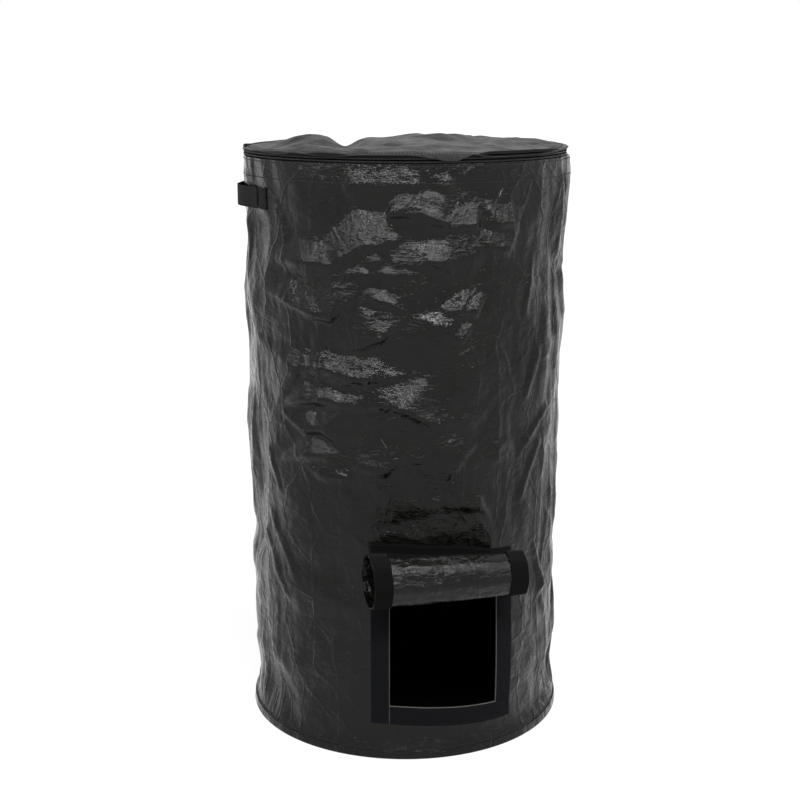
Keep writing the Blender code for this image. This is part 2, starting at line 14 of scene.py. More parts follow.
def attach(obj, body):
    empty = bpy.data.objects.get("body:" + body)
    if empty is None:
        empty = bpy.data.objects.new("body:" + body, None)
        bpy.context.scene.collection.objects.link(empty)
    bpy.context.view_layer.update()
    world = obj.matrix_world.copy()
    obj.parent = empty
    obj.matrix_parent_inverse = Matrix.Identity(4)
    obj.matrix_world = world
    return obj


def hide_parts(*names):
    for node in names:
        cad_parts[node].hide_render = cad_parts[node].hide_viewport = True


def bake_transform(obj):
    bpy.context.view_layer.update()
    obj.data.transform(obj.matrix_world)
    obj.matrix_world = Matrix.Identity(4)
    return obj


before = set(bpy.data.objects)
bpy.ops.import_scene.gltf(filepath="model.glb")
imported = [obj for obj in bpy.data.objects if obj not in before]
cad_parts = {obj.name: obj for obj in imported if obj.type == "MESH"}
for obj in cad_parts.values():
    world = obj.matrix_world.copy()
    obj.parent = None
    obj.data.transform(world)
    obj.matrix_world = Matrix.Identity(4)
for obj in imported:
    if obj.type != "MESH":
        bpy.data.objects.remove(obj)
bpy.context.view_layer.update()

# Sizes of the sewn bag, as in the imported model
WALL_RADIUS = 0.225
WALL_HEIGHT = 0.806
WALL_FOOT = 0.0018
WALL_THICKNESS = 0.0010
SEAM_GAP = 0.0003
TAPE_THICKNESS = 0.0014
BINDING_HEIGHT = 0.010
DOOR_SPAN = 20.1172
FRAME_SPAN = 26.6107
DOOR_SILL = 0.0732
DOOR_HEAD = 0.2815
HOOK_WIDTH = 0.0255
FRAME_FOOT = DOOR_SILL - HOOK_WIDTH
HEAD_TAPE_TOP = DOOR_HEAD + HOOK_WIDTH
FLAP_LEFT = -0.117
FLAP_RIGHT = 0.094
LOOP_WIDTH = 0.024
LOOP_THICKNESS = 0.0015
SHEET_DEPTH = 0.0018
FLAP_THICKNESS = 0.0012
ROLL_RADIUS = 0.0385
ROLL_SHRINK = 0.0060 / (2 * math.pi)
ROLL_BACK = 0.228552
ROLL_HEIGHT = 0.2755
FLAP_FOLDS = 8
FOLD_LENGTH = (ROLL_HEIGHT - FRAME_FOOT) / FLAP_FOLDS
LID_FOOT = 0.8164
HINGE_SPAN = 22.0
HINGE_TAPE_FOOT = 0.780
HANDLE_HEIGHT = 0.754
HANDLE_WIDTH = 0.028
HANDLE_SPAN = 21.0
HANDLE_TAB = 5.5
HANDLE_THICKNESS = 0.0018
SEAM_SPAN = 3.0


# Materials. A cloth's UV map is in metres along and up the sheet.

def finish(name, colour, roughness, metallic=0.0, specular=0.5, sheen=0.0):
    """A material with a Principled shader, and the shader's socket values."""
    made = bpy.data.materials.new(name)
    made.use_nodes = True
    shader = made.node_tree.nodes["Principled BSDF"]
    shader.inputs["Base Color"].default_value = (*colour, 1.0)
    shader.inputs["Roughness"].default_value = roughness
    shader.inputs["Metallic"].default_value = metallic
    shader.inputs["Specular IOR Level"].default_value = specular
    shader.inputs["Sheen Weight"].default_value = sheen
    return made


def node(made, kind, inputs=(), **settings):
    """Adds a node, sets its settings and its inputs: a value, or a socket to link."""
    new = made.node_tree.nodes.new(kind)
    for key, value in settings.items():
        setattr(new, key, value)
    for key, value in dict(inputs).items():
        if isinstance(value, bpy.types.NodeSocket):
            made.node_tree.links.new(value, new.inputs[key])
        else:
            new.inputs[key].default_value = value
    return new


def maths(made, operation, *values):
    """The result of a Math node."""
    return node(made, "ShaderNodeMath", dict(enumerate(values)), operation=operation).outputs[0]


def weave(made, across, up, pitch_across, pitch_up):
    """Height of a plain weave: 0 between the tapes, 1 on their middles."""
    wave_across = maths(made, "SINE", maths(made, "MULTIPLY", across, math.pi / pitch_across))
    wave_up = maths(made, "SINE", maths(made, "MULTIPLY", up, math.pi / pitch_up))
    over = maths(made, "GREATER_THAN", maths(made, "MULTIPLY", wave_across, wave_up), 0.0)
    tall = maths(made, "ABSOLUTE", wave_across)
    wide = maths(made, "ABSOLUTE", wave_up)
    under = maths(made, "SUBTRACT", 1.0, over)
    return maths(
        made, "ADD", maths(made, "MULTIPLY", tall, over), maths(made, "MULTIPLY", wide, under))


def noise(made, place, scale, detail=2.0, roughness=0.5, stretch=None):
    """A noise texture's value at a place, which may be stretched."""
    if stretch:
        place = node(made, "ShaderNodeMapping", {"Vector": place, "Scale": stretch}).outputs[0]
    inputs = {"Vector": place, "Scale": scale, "Detail": detail, "Roughness": roughness}
    return node(made, "ShaderNodeTexNoise", inputs).outputs["Fac"]


def ramp(made, value, low, high, foot=0.0, top=1.0):
    """value mapped from low..high to foot..top, and held there."""
    inputs = {"Value": value, "From Min": low, "From Max": high, "To Min": foot, "To Max": top}
    return node(made, "ShaderNodeMapRange", inputs).outputs[0]


def bump(made, heights):
    """Stacks bumps, each (height, strength, distance), and feeds the shader's normal."""
    normal = None
    for height, strength, distance in heights:
        inputs = {"Height": height, "Strength": strength, "Distance": distance}
        if normal:
            inputs["Normal"] = normal
        normal = node(made, "ShaderNodeBump", inputs).outputs[0]
    shader = made.node_tree.nodes["Principled BSDF"]
    made.node_tree.links.new(normal, shader.inputs["Normal"])


def feed(made, socket, value):
    """Links a value to one of the shader's sockets."""
    shader = made.node_tree.nodes["Principled BSDF"]
    made.node_tree.links.new(value, shader.inputs[socket])


def between(made, share, dark, pale):
    """A colour between dark and pale."""
    mix = node(made, "ShaderNodeMix", {"Factor": share}, data_type="RGBA")
    mix.inputs["A"].default_value = (*dark, 1.0)
    mix.inputs["B"].default_value = (*pale, 1.0)
    return mix.outputs["Result"]


def make_sheet_finish(name, dark, pale, gloss_low, gloss_high, specular=0.20):
    """Black coated woven sheet: flat woven tapes under a thin glossy film that is crumpled."""
    made = finish(name, dark, gloss_low, specular=specular)
    sewn = node(made, "ShaderNodeTexCoord").outputs["UV"]
    parts = node(made, "ShaderNodeSeparateXYZ", {"Vector": sewn})
    across, up = parts.outputs["X"], parts.outputs["Y"]
    tapes = weave(made, across, up, 0.0026, 0.0022)
    streaks = noise(made, sewn, 1.0, 3.0, 0.6, stretch=(90, 520, 1))
    grain = noise(made, sewn, 1.0, 3.0, 0.65, stretch=(135, 185, 1))
    patches = noise(made, sewn, 14.0, 3.0, 0.5)
    warp = noise(made, sewn, 18.0, 2.0, 0.5)
    aside = node(made, "ShaderNodeCombineXYZ", {
        "X": maths(made, "MULTIPLY", warp, 0.03), "Y": maths(made, "MULTIPLY", warp, -0.02)})
    bent = node(
        made, "ShaderNodeVectorMath", {0: sewn, 1: aside.outputs[0]}, operation="ADD").outputs[0]
    cells = node(made, "ShaderNodeMapping", {"Vector": bent, "Scale": (22.0, 11.0, 1.0)})
    web = node(
        made, "ShaderNodeTexVoronoi", {"Vector": cells.outputs[0], "Scale": 1.0},
        feature="DISTANCE_TO_EDGE").outputs["Distance"]
    broad = folds(made, bent, 34.0)
    small = folds(made, bent, 85.0)
    lines = ramp(made, noise(made, bent, 1.0, 2.0, 0.5, stretch=(26, 300, 1)), 0.56, 0.70)
    feed(made, "Base Color", between(made, ramp(made, patches, 0.35, 0.65), dark, pale))
    gloss = noise(made, sewn, 30.0, 3.0)
    feed(made, "Roughness", ramp(made, gloss, 0.3, 0.7, gloss_low, gloss_high))
    worn = ramp(made, patches, 0.3, 0.7, 0.35, 1.0)
    bump(made, (
        (ramp(made, web, 0.0, 0.05, 1.0, 0.0), 1.0, 0.0005),
        (broad, 1.0, 0.0013),
        (small, 1.0, 0.0004),
        (lines, 1.0, 0.00014),
        (maths(made, "MULTIPLY", streaks, worn), 1.0, 0.00016),
        (maths(made, "MULTIPLY", grain, worn), 1.0, 0.0015),
        (tapes, 1.0, 0.00005),
    ))
    return made


def folds(made, place, scale):
    """Height of small flat facets between sharp folds, scale of them to a metre."""
    inputs = {"Vector": place, "Scale": scale}
    return node(made, "ShaderNodeTexVoronoi", inputs, distance="MANHATTAN").outputs["Distance"]


def make_fleece_finish(name, colour, scale):
    """Hook or loop tape: a matt pile of tiny hooks or loops on a woven ground."""
    made = finish(name, colour, 0.93, specular=0.05, sheen=0.02)
    sewn = node(made, "ShaderNodeTexCoord").outputs["UV"]
    pile = noise(made, sewn, scale, 3.0, 0.7)
    spots = node(made, "ShaderNodeTexVoronoi", {"Vector": sewn, "Scale": scale * 0.7})
    pale = tuple(c * 1.9 for c in colour)
    feed(made, "Base Color", between(made, ramp(made, pile, 0.35, 0.7), colour, pale))
    bump(made, ((pile, 0.8, 0.0012), (spots.outputs["Distance"], 0.6, 0.0008)))
    return made


def make_ribbed_finish(name, colour, pitch_across, pitch_up, roughness=0.75, specular=0.1):
    """Woven tape or webbing with a rib."""
    made = finish(name, colour, roughness, specular=specular, sheen=0.01)
    sewn = node(made, "ShaderNodeTexCoord").outputs["UV"]
    parts = node(made, "ShaderNodeSeparateXYZ", {"Vector": sewn})
    ribs = weave(made, parts.outputs["X"], parts.outputs["Y"], pitch_across, pitch_up)
    fuzz = noise(made, sewn, 900.0, 2.0, 0.6)
    pale = tuple(c * 1.8 for c in colour)
    # Rib tops are painted up to 1.8 times paler than the grooves between them, painted shade in the
    # grooves; the fuzz adds tone that differs at random.
    shade = maths(made, "MULTIPLY", ribs, ramp(made, fuzz, 0.3, 0.7, 0.6, 1.0))
    feed(made, "Base Color", between(made, shade, colour, pale))
    bump(made, ((ribs, 0.8, 0.0006), (fuzz, 0.3, 0.0003)))
    return made


def make_hard_finish(name, colour, roughness, metallic, scale):
    """Moulded or cast pieces: fine grain and small differences in gloss."""
    made = finish(name, colour, roughness, metallic)
    place = node(made, "ShaderNodeTexCoord").outputs["Object"]
    grain = noise(made, place, scale, 3.0, 0.6)
    pale = tuple(c * 1.6 for c in colour)
    feed(made, "Base Color", between(made, ramp(made, grain, 0.35, 0.65), colour, pale))
    feed(made, "Roughness", ramp(made, grain, 0.3, 0.7, roughness * 0.8, roughness * 1.25))
    bump(made, ((grain, 0.25, 0.0002),))
    return made


SHEET = make_sheet_finish(
    "black_coated_sheet", (0.0019, 0.0017, 0.0014), (0.0030, 0.0027, 0.0023), 0.06, 0.10)
# The lid's copy of the sheet is painted paler than the wall's: painted light on the lid's top face,
# which faces the lamps. It is also rougher.
LID_SHEET_PAINTED_PALER = make_sheet_finish(
    "black_lid_sheet_painted_paler", (0.0040, 0.0040, 0.0038), (0.0062, 0.0061, 0.0058), 0.36, 0.50, 0.16)
# The doorway's edge lips are painted much paler than the sheet: a painted highlight along the
# sheet's edge.
EDGE_PAINTED_HIGHLIGHT = make_hard_finish("sheet_edge_painted_highlight", (0.044, 0.044, 0.042), 0.35, 0.0, 900.0)
HOOK = make_fleece_finish("black_hook_tape", (0.0046, 0.0048, 0.0056), 1100.0)
LOOP = make_fleece_finish("black_loop_tape", (0.0018, 0.0018, 0.0020), 700.0)
WEBBING = make_ribbed_finish("black_webbing", (0.0046, 0.0046, 0.0050), 0.0016, 0.0030)
ZIP_CLOTH = make_ribbed_finish(
    "black_zip_cloth", (0.0024, 0.0024, 0.0026), 0.0011, 0.0011, 0.85, 0.04)
SEAM_CLOTH = make_ribbed_finish("black_seam_tape", (0.0036, 0.0036, 0.0036), 0.0010, 0.0014)
# This thread is painted paler than the dark thread: a painted highlight along the rim, foot and lid
# stitch lines.
THREAD = make_ribbed_finish("black_thread_painted_highlight", (0.0200, 0.0200, 0.0196), 0.0006, 0.0006, 0.5)
DARK_THREAD = make_ribbed_finish("dark_thread", (0.0060, 0.0060, 0.0062), 0.0006, 0.0006, 0.6)
NYLON = make_hard_finish("black_nylon_coil", (0.0040, 0.0040, 0.0042), 0.45, 0.0, 900.0)
METAL = make_hard_finish("black_painted_metal", (0.0150, 0.0150, 0.0155), 0.32, 0.6, 700.0)


# The tube's shape

def hump(value, centre, reach):
    """A smooth hump: 1 at the centre, 0 from reach away."""
    share = np.minimum(1.0, np.abs(value - centre) / reach)
    return 0.5 + 0.5 * np.cos(np.pi * share)


def step(value, low, high):
    """0 below low, 1 above high, smooth between."""
    share = np.clip((value - low) / (high - low), 0, 1)
    return share * share * (3 - 2 * share)


def tube_radius(azimuth, height):
    """Radius of the tube's outer face before it is crumpled."""
    away = 1 - hump(azimuth, 0, 80.0)
    slack = 0.0060 * hump(height, 0.260, 0.420)
    fold = 0.0060 * away * hump(height, 0.060, 0.055)
    crease = away * (0.0020 * hump(height, 0.262, 0.030) - 0.0026 * hump(height, 0.222, 0.034))
    pulled = 0.0035 * hump(azimuth, 30.0, 24.0) * hump(height, 0.150, 0.140)
    flare = 0.0085 * hump(azimuth, -12.0, 150.0) * step(-np.asarray(height), -0.030, 0.0)
    full = 0.0050 * hump(azimuth, 76.0, 50.0) * hump(height, 0.360, 0.190)
    narrow = 0.0045 * hump(azimuth, 78.0, 40.0) * hump(height, 0.660, 0.130)
    return WALL_RADIUS - slack - fold - crease + pulled + flare + full - narrow


# How far the bag sags: the rim at the back, and the doorway and its head on their right
BACK_SAG, BACK_SAG_AZIMUTH = 0.0145, -170.5
DOOR_SAG = 0.0110
HEAD_SAG = 0.0120
RIM_LEVEL = 0.81


# The crumple map: how far the wall stands out at each azimuth and height. A sheet that has
# been folded keeps flat facets between sharp creases.

MAP_COLUMNS, MAP_ROWS = 1440, 824
MAP_TOP = 0.820
MAP_AZIMUTHS = np.linspace(-180, 180, MAP_COLUMNS + 1)
MAP_HEIGHTS = np.linspace(0, MAP_TOP, MAP_ROWS + 1)
MM_PER_DEGREE = WALL_RADIUS * math.pi / 180 * 1000


def metres(degrees):
    """Length along the tube's girth."""
    return degrees * MM_PER_DEGREE / 1000


def facets(points, depths, columns, rows):
    """Flat facets through scattered points, sampled on a grid of columns and rows."""
    flat = [Vector(p) for p in points]
    made = delaunay_2d_cdt(flat, [], [], 0, 1e-6)
    corners = np.array([tuple(v) for v in made[0]])
    deep = np.array([depths[source[0]] for source in made[3]])
    heights = np.zeros((len(rows), len(columns)))
    for face in made[2]:
        a, b, c = corners[list(face)]
        lo = np.minimum(np.minimum(a, b), c)
        hi = np.maximum(np.maximum(a, b), c)
        i0, i1 = np.searchsorted(columns, (lo[0], hi[0] + 1e-9))
        j0, j1 = np.searchsorted(rows, (lo[1], hi[1] + 1e-9))
        if i0 == i1 or j0 == j1:
            continue
        x, y = np.meshgrid(columns[i0:i1], rows[j0:j1])
        area = (b[0] - a[0]) * (c[1] - a[1]) - (c[0] - a[0]) * (b[1] - a[1])
        if abs(area) < 1e-12:
            continue
        share_b = ((x - a[0]) * (c[1] - a[1]) - (c[0] - a[0]) * (y - a[1])) / area
        share_c = ((b[0] - a[0]) * (y - a[1]) - (x - a[0]) * (b[1] - a[1])) / area
        share_a = 1 - share_b - share_c
        inside = (share_a >= -1e-6) & (share_b >= -1e-6) & (share_c >= -1e-6)
        level = share_a * deep[face[0]] + share_b * deep[face[1]] + share_c * deep[face[2]]
        heights[j0:j1, i0:i1][inside] = level[inside]
    return heights


def facet_corners():
    """Corners and depths, in millimetres, of the facets that are turned up to the light."""
    corners, depths = [], []
    for tilt, outline in TURNED_FACETS:
        middle = sum(height for _, height in outline) / len(outline)
        for azimuth, height in outline:
            deep = (middle - height) * math.tan(math.radians(tilt))
            corners.append((azimuth * MM_PER_DEGREE, height * 1000))
            depths.append(deep)
            if deep > 0:
                corners.append((azimuth * MM_PER_DEGREE, height * 1000 - 8))
                depths.append(-0.2 * deep)
    return np.array(corners), depths


def scattered_facets(seed, wide, tall, depth, placed=False):
    """Random facets all round the tube, about so wide and tall in millimetres."""
    corners, corner_depths = facet_corners()
    draw = np.random.RandomState(seed)
    girth = 360 * MM_PER_DEGREE
    across, up = int(girth / wide), int(840 / tall)
    points, depths = [], []
    for j in range(up + 1):
        for i in range(across):
            x = (i + draw.uniform(-0.45, 0.45) + 0.5 * (j % 2)) * girth / across - girth / 2
            y = (j + draw.uniform(-0.45, 0.45)) * 840 / up - 10
            d = draw.uniform(-depth, depth)
            if placed and np.min(np.hypot(corners[:, 0] - x, corners[:, 1] - y)) < 0.45 * wide:
                continue
            for turn in (-girth, 0, girth):
                if abs(x + turn) < girth / 2 + 2.5 * wide:
                    points.append(((x + turn) / wide, y / tall))
                    depths.append(d)
    if placed:
        points += [(x / wide, y / tall) for x, y in corners]
        depths += corner_depths
    return facets(points, depths, MAP_AZIMUTHS * MM_PER_DEGREE / wide, MAP_HEIGHTS * 1000 / tall)


def smooth(heights, passes):
    """Rounds off a map's creases, round the tube as well as up it."""
    for _ in range(passes):
        body = heights[:, :-1]
        body = (np.roll(body, 1, 1) + 2 * body + np.roll(body, -1, 1)) / 4
        heights = np.concatenate((body, body[:, :1]), 1)
        padded = np.concatenate((heights[:1], heights, heights[-1:]))
        heights = (padded[:-2] + 2 * padded[1:-1] + padded[2:]) / 4
    return heights


def crease(azimuths, heights, start, end, width, depth):
    """A fold along a line from start to end, each (azimuth, height): a ridge with flat sides."""
    x = metres(azimuths)
    a = np.array([metres(start[0]), start[1]])
    b = np.array([metres(end[0]), end[1]])
    along = b - a
    length = math.hypot(*along)
    along = along / length
    t = ((x - a[0]) * along[0] + (heights - a[1]) * along[1]) / length
    off = np.abs((x - a[0]) * along[1] - (heights - a[1]) * along[0])
    return depth * np.clip(1 - off / width, 0, 1) * step(t, -0.02, 0.15) * step(-t, -1.02, -0.85)


def make_crumple_map():
    """The wall's facets and folds, calmed where tapes, seams and hems hold the sheet."""
    azimuths, heights = np.meshgrid(MAP_AZIMUTHS, MAP_HEIGHTS)
    side = np.abs(azimuths)
    upright = 0.12 + 0.88 * step(np.abs(azimuths + 14), 46.0, 66.0)
    near = np.zeros_like(azimuths)
    for _, outline in TURNED_FACETS:
        (a0, z0), (a1, z1) = np.min(outline, 0), np.max(outline, 0)
        off = (
            ((azimuths - (a0 + a1) / 2) / (a1 - a0 + 2)) ** 2
            + ((heights - (z0 + z1) / 2) / (z1 - z0 + 0.008)) ** 2)
        near = np.maximum(near, step(-off, -0.45, -0.15))
    crumple = (
        smooth(scattered_facets(11, 66.0, 66.0, 0.0038, placed=True), 2)
        + smooth(scattered_facets(23, 34.0, 34.0, 0.0015), 2) * (1 - 0.8 * near)
        + smooth(scattered_facets(37, 17.0, 17.0, 0.0004), 2) * (1 - 0.6 * near)
        + smooth(scattered_facets(41, 18.0, 110.0, 0.0056), 1) * upright
        + smooth(scattered_facets(43, 9.0, 60.0, 0.0011), 1) * upright
    )
    for line in WALL_FOLDS:
        crumple += crease(azimuths, heights, *line)
    frame_calm = (
        step(side, 25.0, 38.0) + step(heights, 0.305, 0.345) + step(-heights, -0.040, -0.020))
    calm = 0.12 + 0.88 * np.clip(frame_calm, 0, 1)
    calm *= step(heights, 0.008, 0.035)
    tab_middle = HANDLE_SPAN - HANDLE_TAB / 2
    tab = hump(side, 90 - tab_middle, 7.0) + hump(side, 90 + tab_middle, 7.0)
    at_handle = step(-np.abs(heights - HANDLE_HEIGHT), -0.034, -0.014)
    calm *= 1 - 0.9 * tab * at_handle
    calm *= 1 - 0.7 * hump(side, 90, 30.0) * at_handle
    calm *= 0.2 + 0.8 * step(180 - side, SEAM_SPAN, SEAM_SPAN + 5)
    rim = step(heights, 0.768, 0.790)
    return np.maximum(crumple * calm * (1 - 0.4 * rim) + 0.0008 * rim, -0.05 + 0.0497 * rim)


# Facets turned up to the light: tilt in degrees, and corners (azimuth, height)
TURNED_FACETS = (
    (14.6, ((-34, 0.803), (-16, 0.804), (-16, 0.781), (-34, 0.780))),
    (14.6, ((-12, 0.805), (1, 0.806), (-1, 0.778), (-12, 0.780))),
    (15.5, ((-36, 0.776), (-8, 0.778), (-20, 0.745))),
    (15.7, ((-1, 0.778), (3, 0.776), (-5, 0.736), (-8, 0.741))),
    (16.8, ((-32, 0.751), (-21, 0.744), (-22, 0.704), (-28, 0.703))),
    (17.9, ((-57, 0.709), (-43, 0.708), (-39, 0.677), (-55, 0.676))),
    (17.8, ((-15, 0.711), (-3, 0.713), (-3, 0.680), (-24, 0.682))),
    (16.3, ((2, 0.753), (11, 0.760), (9, 0.727), (0, 0.728))),
    (16.3, ((21, 0.755), (28, 0.751), (26, 0.728), (18, 0.728))),
    (17.3, ((12, 0.726), (27, 0.720), (22, 0.693), (14, 0.700))),
    (18.6, ((-30, 0.679), (-21, 0.678), (-21, 0.664), (-28, 0.664))),
    (19.5, ((-28, 0.652), (-21, 0.650), (-21, 0.631), (-31, 0.638))),
    (19.9, ((-55, 0.655), (-50, 0.649), (-40, 0.606), (-49, 0.613))),
    (20.8, ((-13, 0.614), (-4, 0.622), (-5, 0.602), (-22, 0.584))),
    (19.9, ((7, 0.649), (14, 0.641), (10, 0.616), (2, 0.618))),
    (21.2, ((5, 0.606), (10, 0.604), (5, 0.580), (1, 0.584))),
    (21.5, ((-37, 0.559), (-23, 0.559), (-25, 0.530), (-32, 0.529))),
    (21.5, ((-12, 0.533), (-7, 0.533), (-15, 0.488), (-19, 0.494))),
    (21.5, ((-37, 0.512), (-33, 0.512), (-31, 0.493), (-36, 0.494))),
    (25.0, ((-36, 0.430), (-15, 0.423), (-21, 0.404), (-30, 0.408))),
    (25.0, ((12, 0.440), (27, 0.441), (20, 0.427), (5, 0.416))),
    (21.5, ((-53, 0.562), (-43, 0.565), (-43, 0.538), (-53, 0.535))),
    (21.5, ((-53, 0.522), (-43, 0.522), (-43, 0.497), (-53, 0.494))),
    (21.5, ((-53, 0.483), (-44, 0.483), (-44, 0.457), (-53, 0.454))),
    (25.0, ((-53, 0.445), (-45, 0.445), (-45, 0.420), (-52, 0.417))),
    (25.0, ((-48, 0.407), (-36, 0.406), (-36, 0.393), (-46, 0.392))),
    (22.0, ((-3, 0.375), (13, 0.373), (13, 0.357), (0, 0.361))),
    (22.0, ((-33, 0.315), (-21, 0.324), (-26, 0.306), (-31, 0.304))),
)

# Long folds in the tube: start and end (azimuth, height), half width and height in metres
WALL_FOLDS = (
    ((-50, 0.600), (-47, 0.455), 0.009, -0.0020),
    ((-46, 0.450), (-20, 0.445), 0.006, 0.0016),
    ((-30, 0.480), (10, 0.466), 0.014, 0.0022),
    ((10, 0.466), (22, 0.520), 0.012, 0.0018),
    ((-74, 0.330), (-56, 0.235), 0.010, 0.0042),
    ((-80, 0.300), (-60, 0.200), 0.009, 0.0036),
    ((-72, 0.420), (-64, 0.350), 0.008, 0.0034),
    ((38, 0.565), (32, 0.485), 0.008, 0.0032),
    ((47, 0.475), (32, 0.420), 0.008, 0.0042),
    ((43, 0.430), (30, 0.350), 0.009, 0.0042),
    ((52, 0.330), (44, 0.200), 0.010, 0.0040),
    ((40, 0.300), (50, 0.160), 0.009, 0.0036),
    ((34, 0.690), (30, 0.600), 0.007, 0.0028),
)
CRUMPLE = make_crumple_map()


def read_map(values, row, column):
    """A map's value at a row and a column that lie between its points."""
    j0 = np.minimum(row.astype(int), values.shape[0] - 2)
    i0 = np.minimum(column.astype(int), values.shape[1] - 2)
    s, t = column - i0, row - j0
    low = values[j0, i0] * (1 - s) + values[j0, i0 + 1] * s
    high = values[j0 + 1, i0] * (1 - s) + values[j0 + 1, i0 + 1] * s
    return low * (1 - t) + high * t


def crumple_at(azimuth, height):
    """How far the wall stands out from the smooth tube."""
    column = np.clip((np.asarray(azimuth) + 180) / 360, 0, 1) * MAP_COLUMNS
    row = np.clip(np.asarray(height) / MAP_TOP, 0, 1) * MAP_ROWS
    return read_map(CRUMPLE, row, column)


def around(azimuth, radius, height):
    """Points at azimuths, radii and heights."""
    turn = np.radians(azimuth)
    return np.stack(np.broadcast_arrays(radius * np.sin(turn), -radius * np.cos(turn), height), -1)


def sag(azimuth, height):
    """How far a point of the bag hangs below its level."""
    turned = (np.asarray(azimuth) - BACK_SAG_AZIMUTH + 180) % 360 - 180
    rim = BACK_SAG * np.exp(-(turned / 9.0) ** 2) * step(height, 0.60, 0.79)
    door = DOOR_SAG * step(azimuth, -26.0, 28.0) * step(-azimuth, -70.0, -40.0)
    head = (
        HEAD_SAG * step(azimuth, 4.0, 24.0) * step(-azimuth, -62.0, -36.0)
        * hump(height, 0.300, 0.050))
    return rim + door * step(height, 0.012, 0.045) * step(-height, -0.40, -0.315) + head


def on_tube(azimuth, height, offset=0.0):
    """Points on the crumpled tube, or offset outwards from it."""
    radius = tube_radius(azimuth, height) + crumple_at(azimuth, height) + offset
    return around(azimuth, radius, height - sag(azimuth, height))


# Mesh making

def set_uvs(mesh, layer, uvs):
    """Gives each corner of a face the UV of its point."""
    corners = np.empty(len(mesh.loops), np.int32)
    mesh.loops.foreach_get("vertex_index", corners)
    layer.data.foreach_set("uv", np.asarray(uvs, np.float32)[corners].ravel())


def new_piece(name, points, faces, uvs, material):
    """A mesh object from points, faces and a UV for each point."""
    mesh = bpy.data.meshes.new(name)
    mesh.from_pydata(points, [], faces)
    set_uvs(mesh, mesh.uv_layers.new(name="sewn"), uvs)
    mesh.materials.append(material)
    piece = bpy.data.objects.new(name, mesh)
    bpy.context.collection.objects.link(piece)
    mesh.shade_smooth()
    return piece


def alone(piece):
    """Selects one piece and makes it active."""
    bpy.ops.object.select_all(action="DESELECT")
    piece.select_set(True)
    bpy.context.view_layer.objects.active = piece


def turn_faces_out(piece):
    alone(piece)
    bpy.ops.object.mode_set(mode="EDIT")
    bpy.ops.mesh.select_all(action="SELECT")
    bpy.ops.mesh.normals_make_consistent(inside=False)
    bpy.ops.object.mode_set(mode="OBJECT")


def apply_modifiers(piece):
    alone(piece)
    for modifier in list(piece.modifiers):
        bpy.ops.object.modifier_apply(modifier=modifier.name)


def cloth(name, across, along, place, thickness, material, uv=None, outwards=False, edge=0.0):
    """A flat grid laid where place(across, along) says, then given its thickness."""
    across, along = np.asarray(across, float), np.asarray(along, float)
    bpy.ops.object.select_all(action="DESELECT")
    bpy.ops.mesh.primitive_grid_add(
        x_subdivisions=len(across) - 1, y_subdivisions=len(along) - 1, size=2)
    piece = bpy.context.object
    piece.name = piece.data.name = name
    mesh = piece.data
    flat = np.empty(len(mesh.vertices) * 3, np.float32)
    mesh.vertices.foreach_get("co", flat)
    flat = flat.reshape(-1, 3)
    i = np.rint((flat[:, 0] + 1) / 2 * (len(across) - 1)).astype(int)
    j = np.rint((flat[:, 1] + 1) / 2 * (len(along) - 1)).astype(int)
    a, b = across[i], along[j]
    mesh.vertices.foreach_set("co", place(a, b).astype(np.float32).ravel())
    mesh.uv_layers[0].name = "sewn"
    set_uvs(mesh, mesh.uv_layers[0], np.stack(uv(a, b) if uv else (a, b), -1))
    mesh.materials.append(material)
    mesh.update()
    shell = piece.modifiers.new("thickness", "SOLIDIFY")
    shell.thickness = thickness
    shell.offset = 1.0 if outwards else -1.0
    if edge:
        rounded = piece.modifiers.new("edges", "BEVEL")
        rounded.width = edge
        rounded.segments = 2
        rounded.limit_method = "ANGLE"
        rounded.angle_limit = math.radians(60)
    apply_modifiers(piece)
    alone(piece)
    bpy.ops.object.shade_smooth_by_angle(angle=math.radians(50))
    return piece


def evenly(low, high, widest):
    """Values from low to high, with steps no wider than widest."""
    return np.linspace(low, high, max(1, math.ceil((high - low) / widest - 1e-9)) + 1)


def tube_uv(azimuth, height):
    """Place on the flat sheet of a point of the tube."""
    return metres(azimuth), height


def tube_strip(
        name, span, rise, offset, thickness, material, slot, fine=0.004, edge=0.0004,
        outwards=True):
    """A strip sewn on the tube, which follows its crumples."""
    azimuths = evenly(*span, fine * 1000 / MM_PER_DEGREE)
    heights = evenly(*rise, fine)
    return cloth(
        name, azimuths, heights, lambda a, z: on_tube(a, z, offset), thickness, material,
        uv=tube_uv, outwards=outwards, edge=edge)


# The tube: a fine outer skin and a coarser inner one, joined round the rim, foot and doorway

INNER_STEP = 3


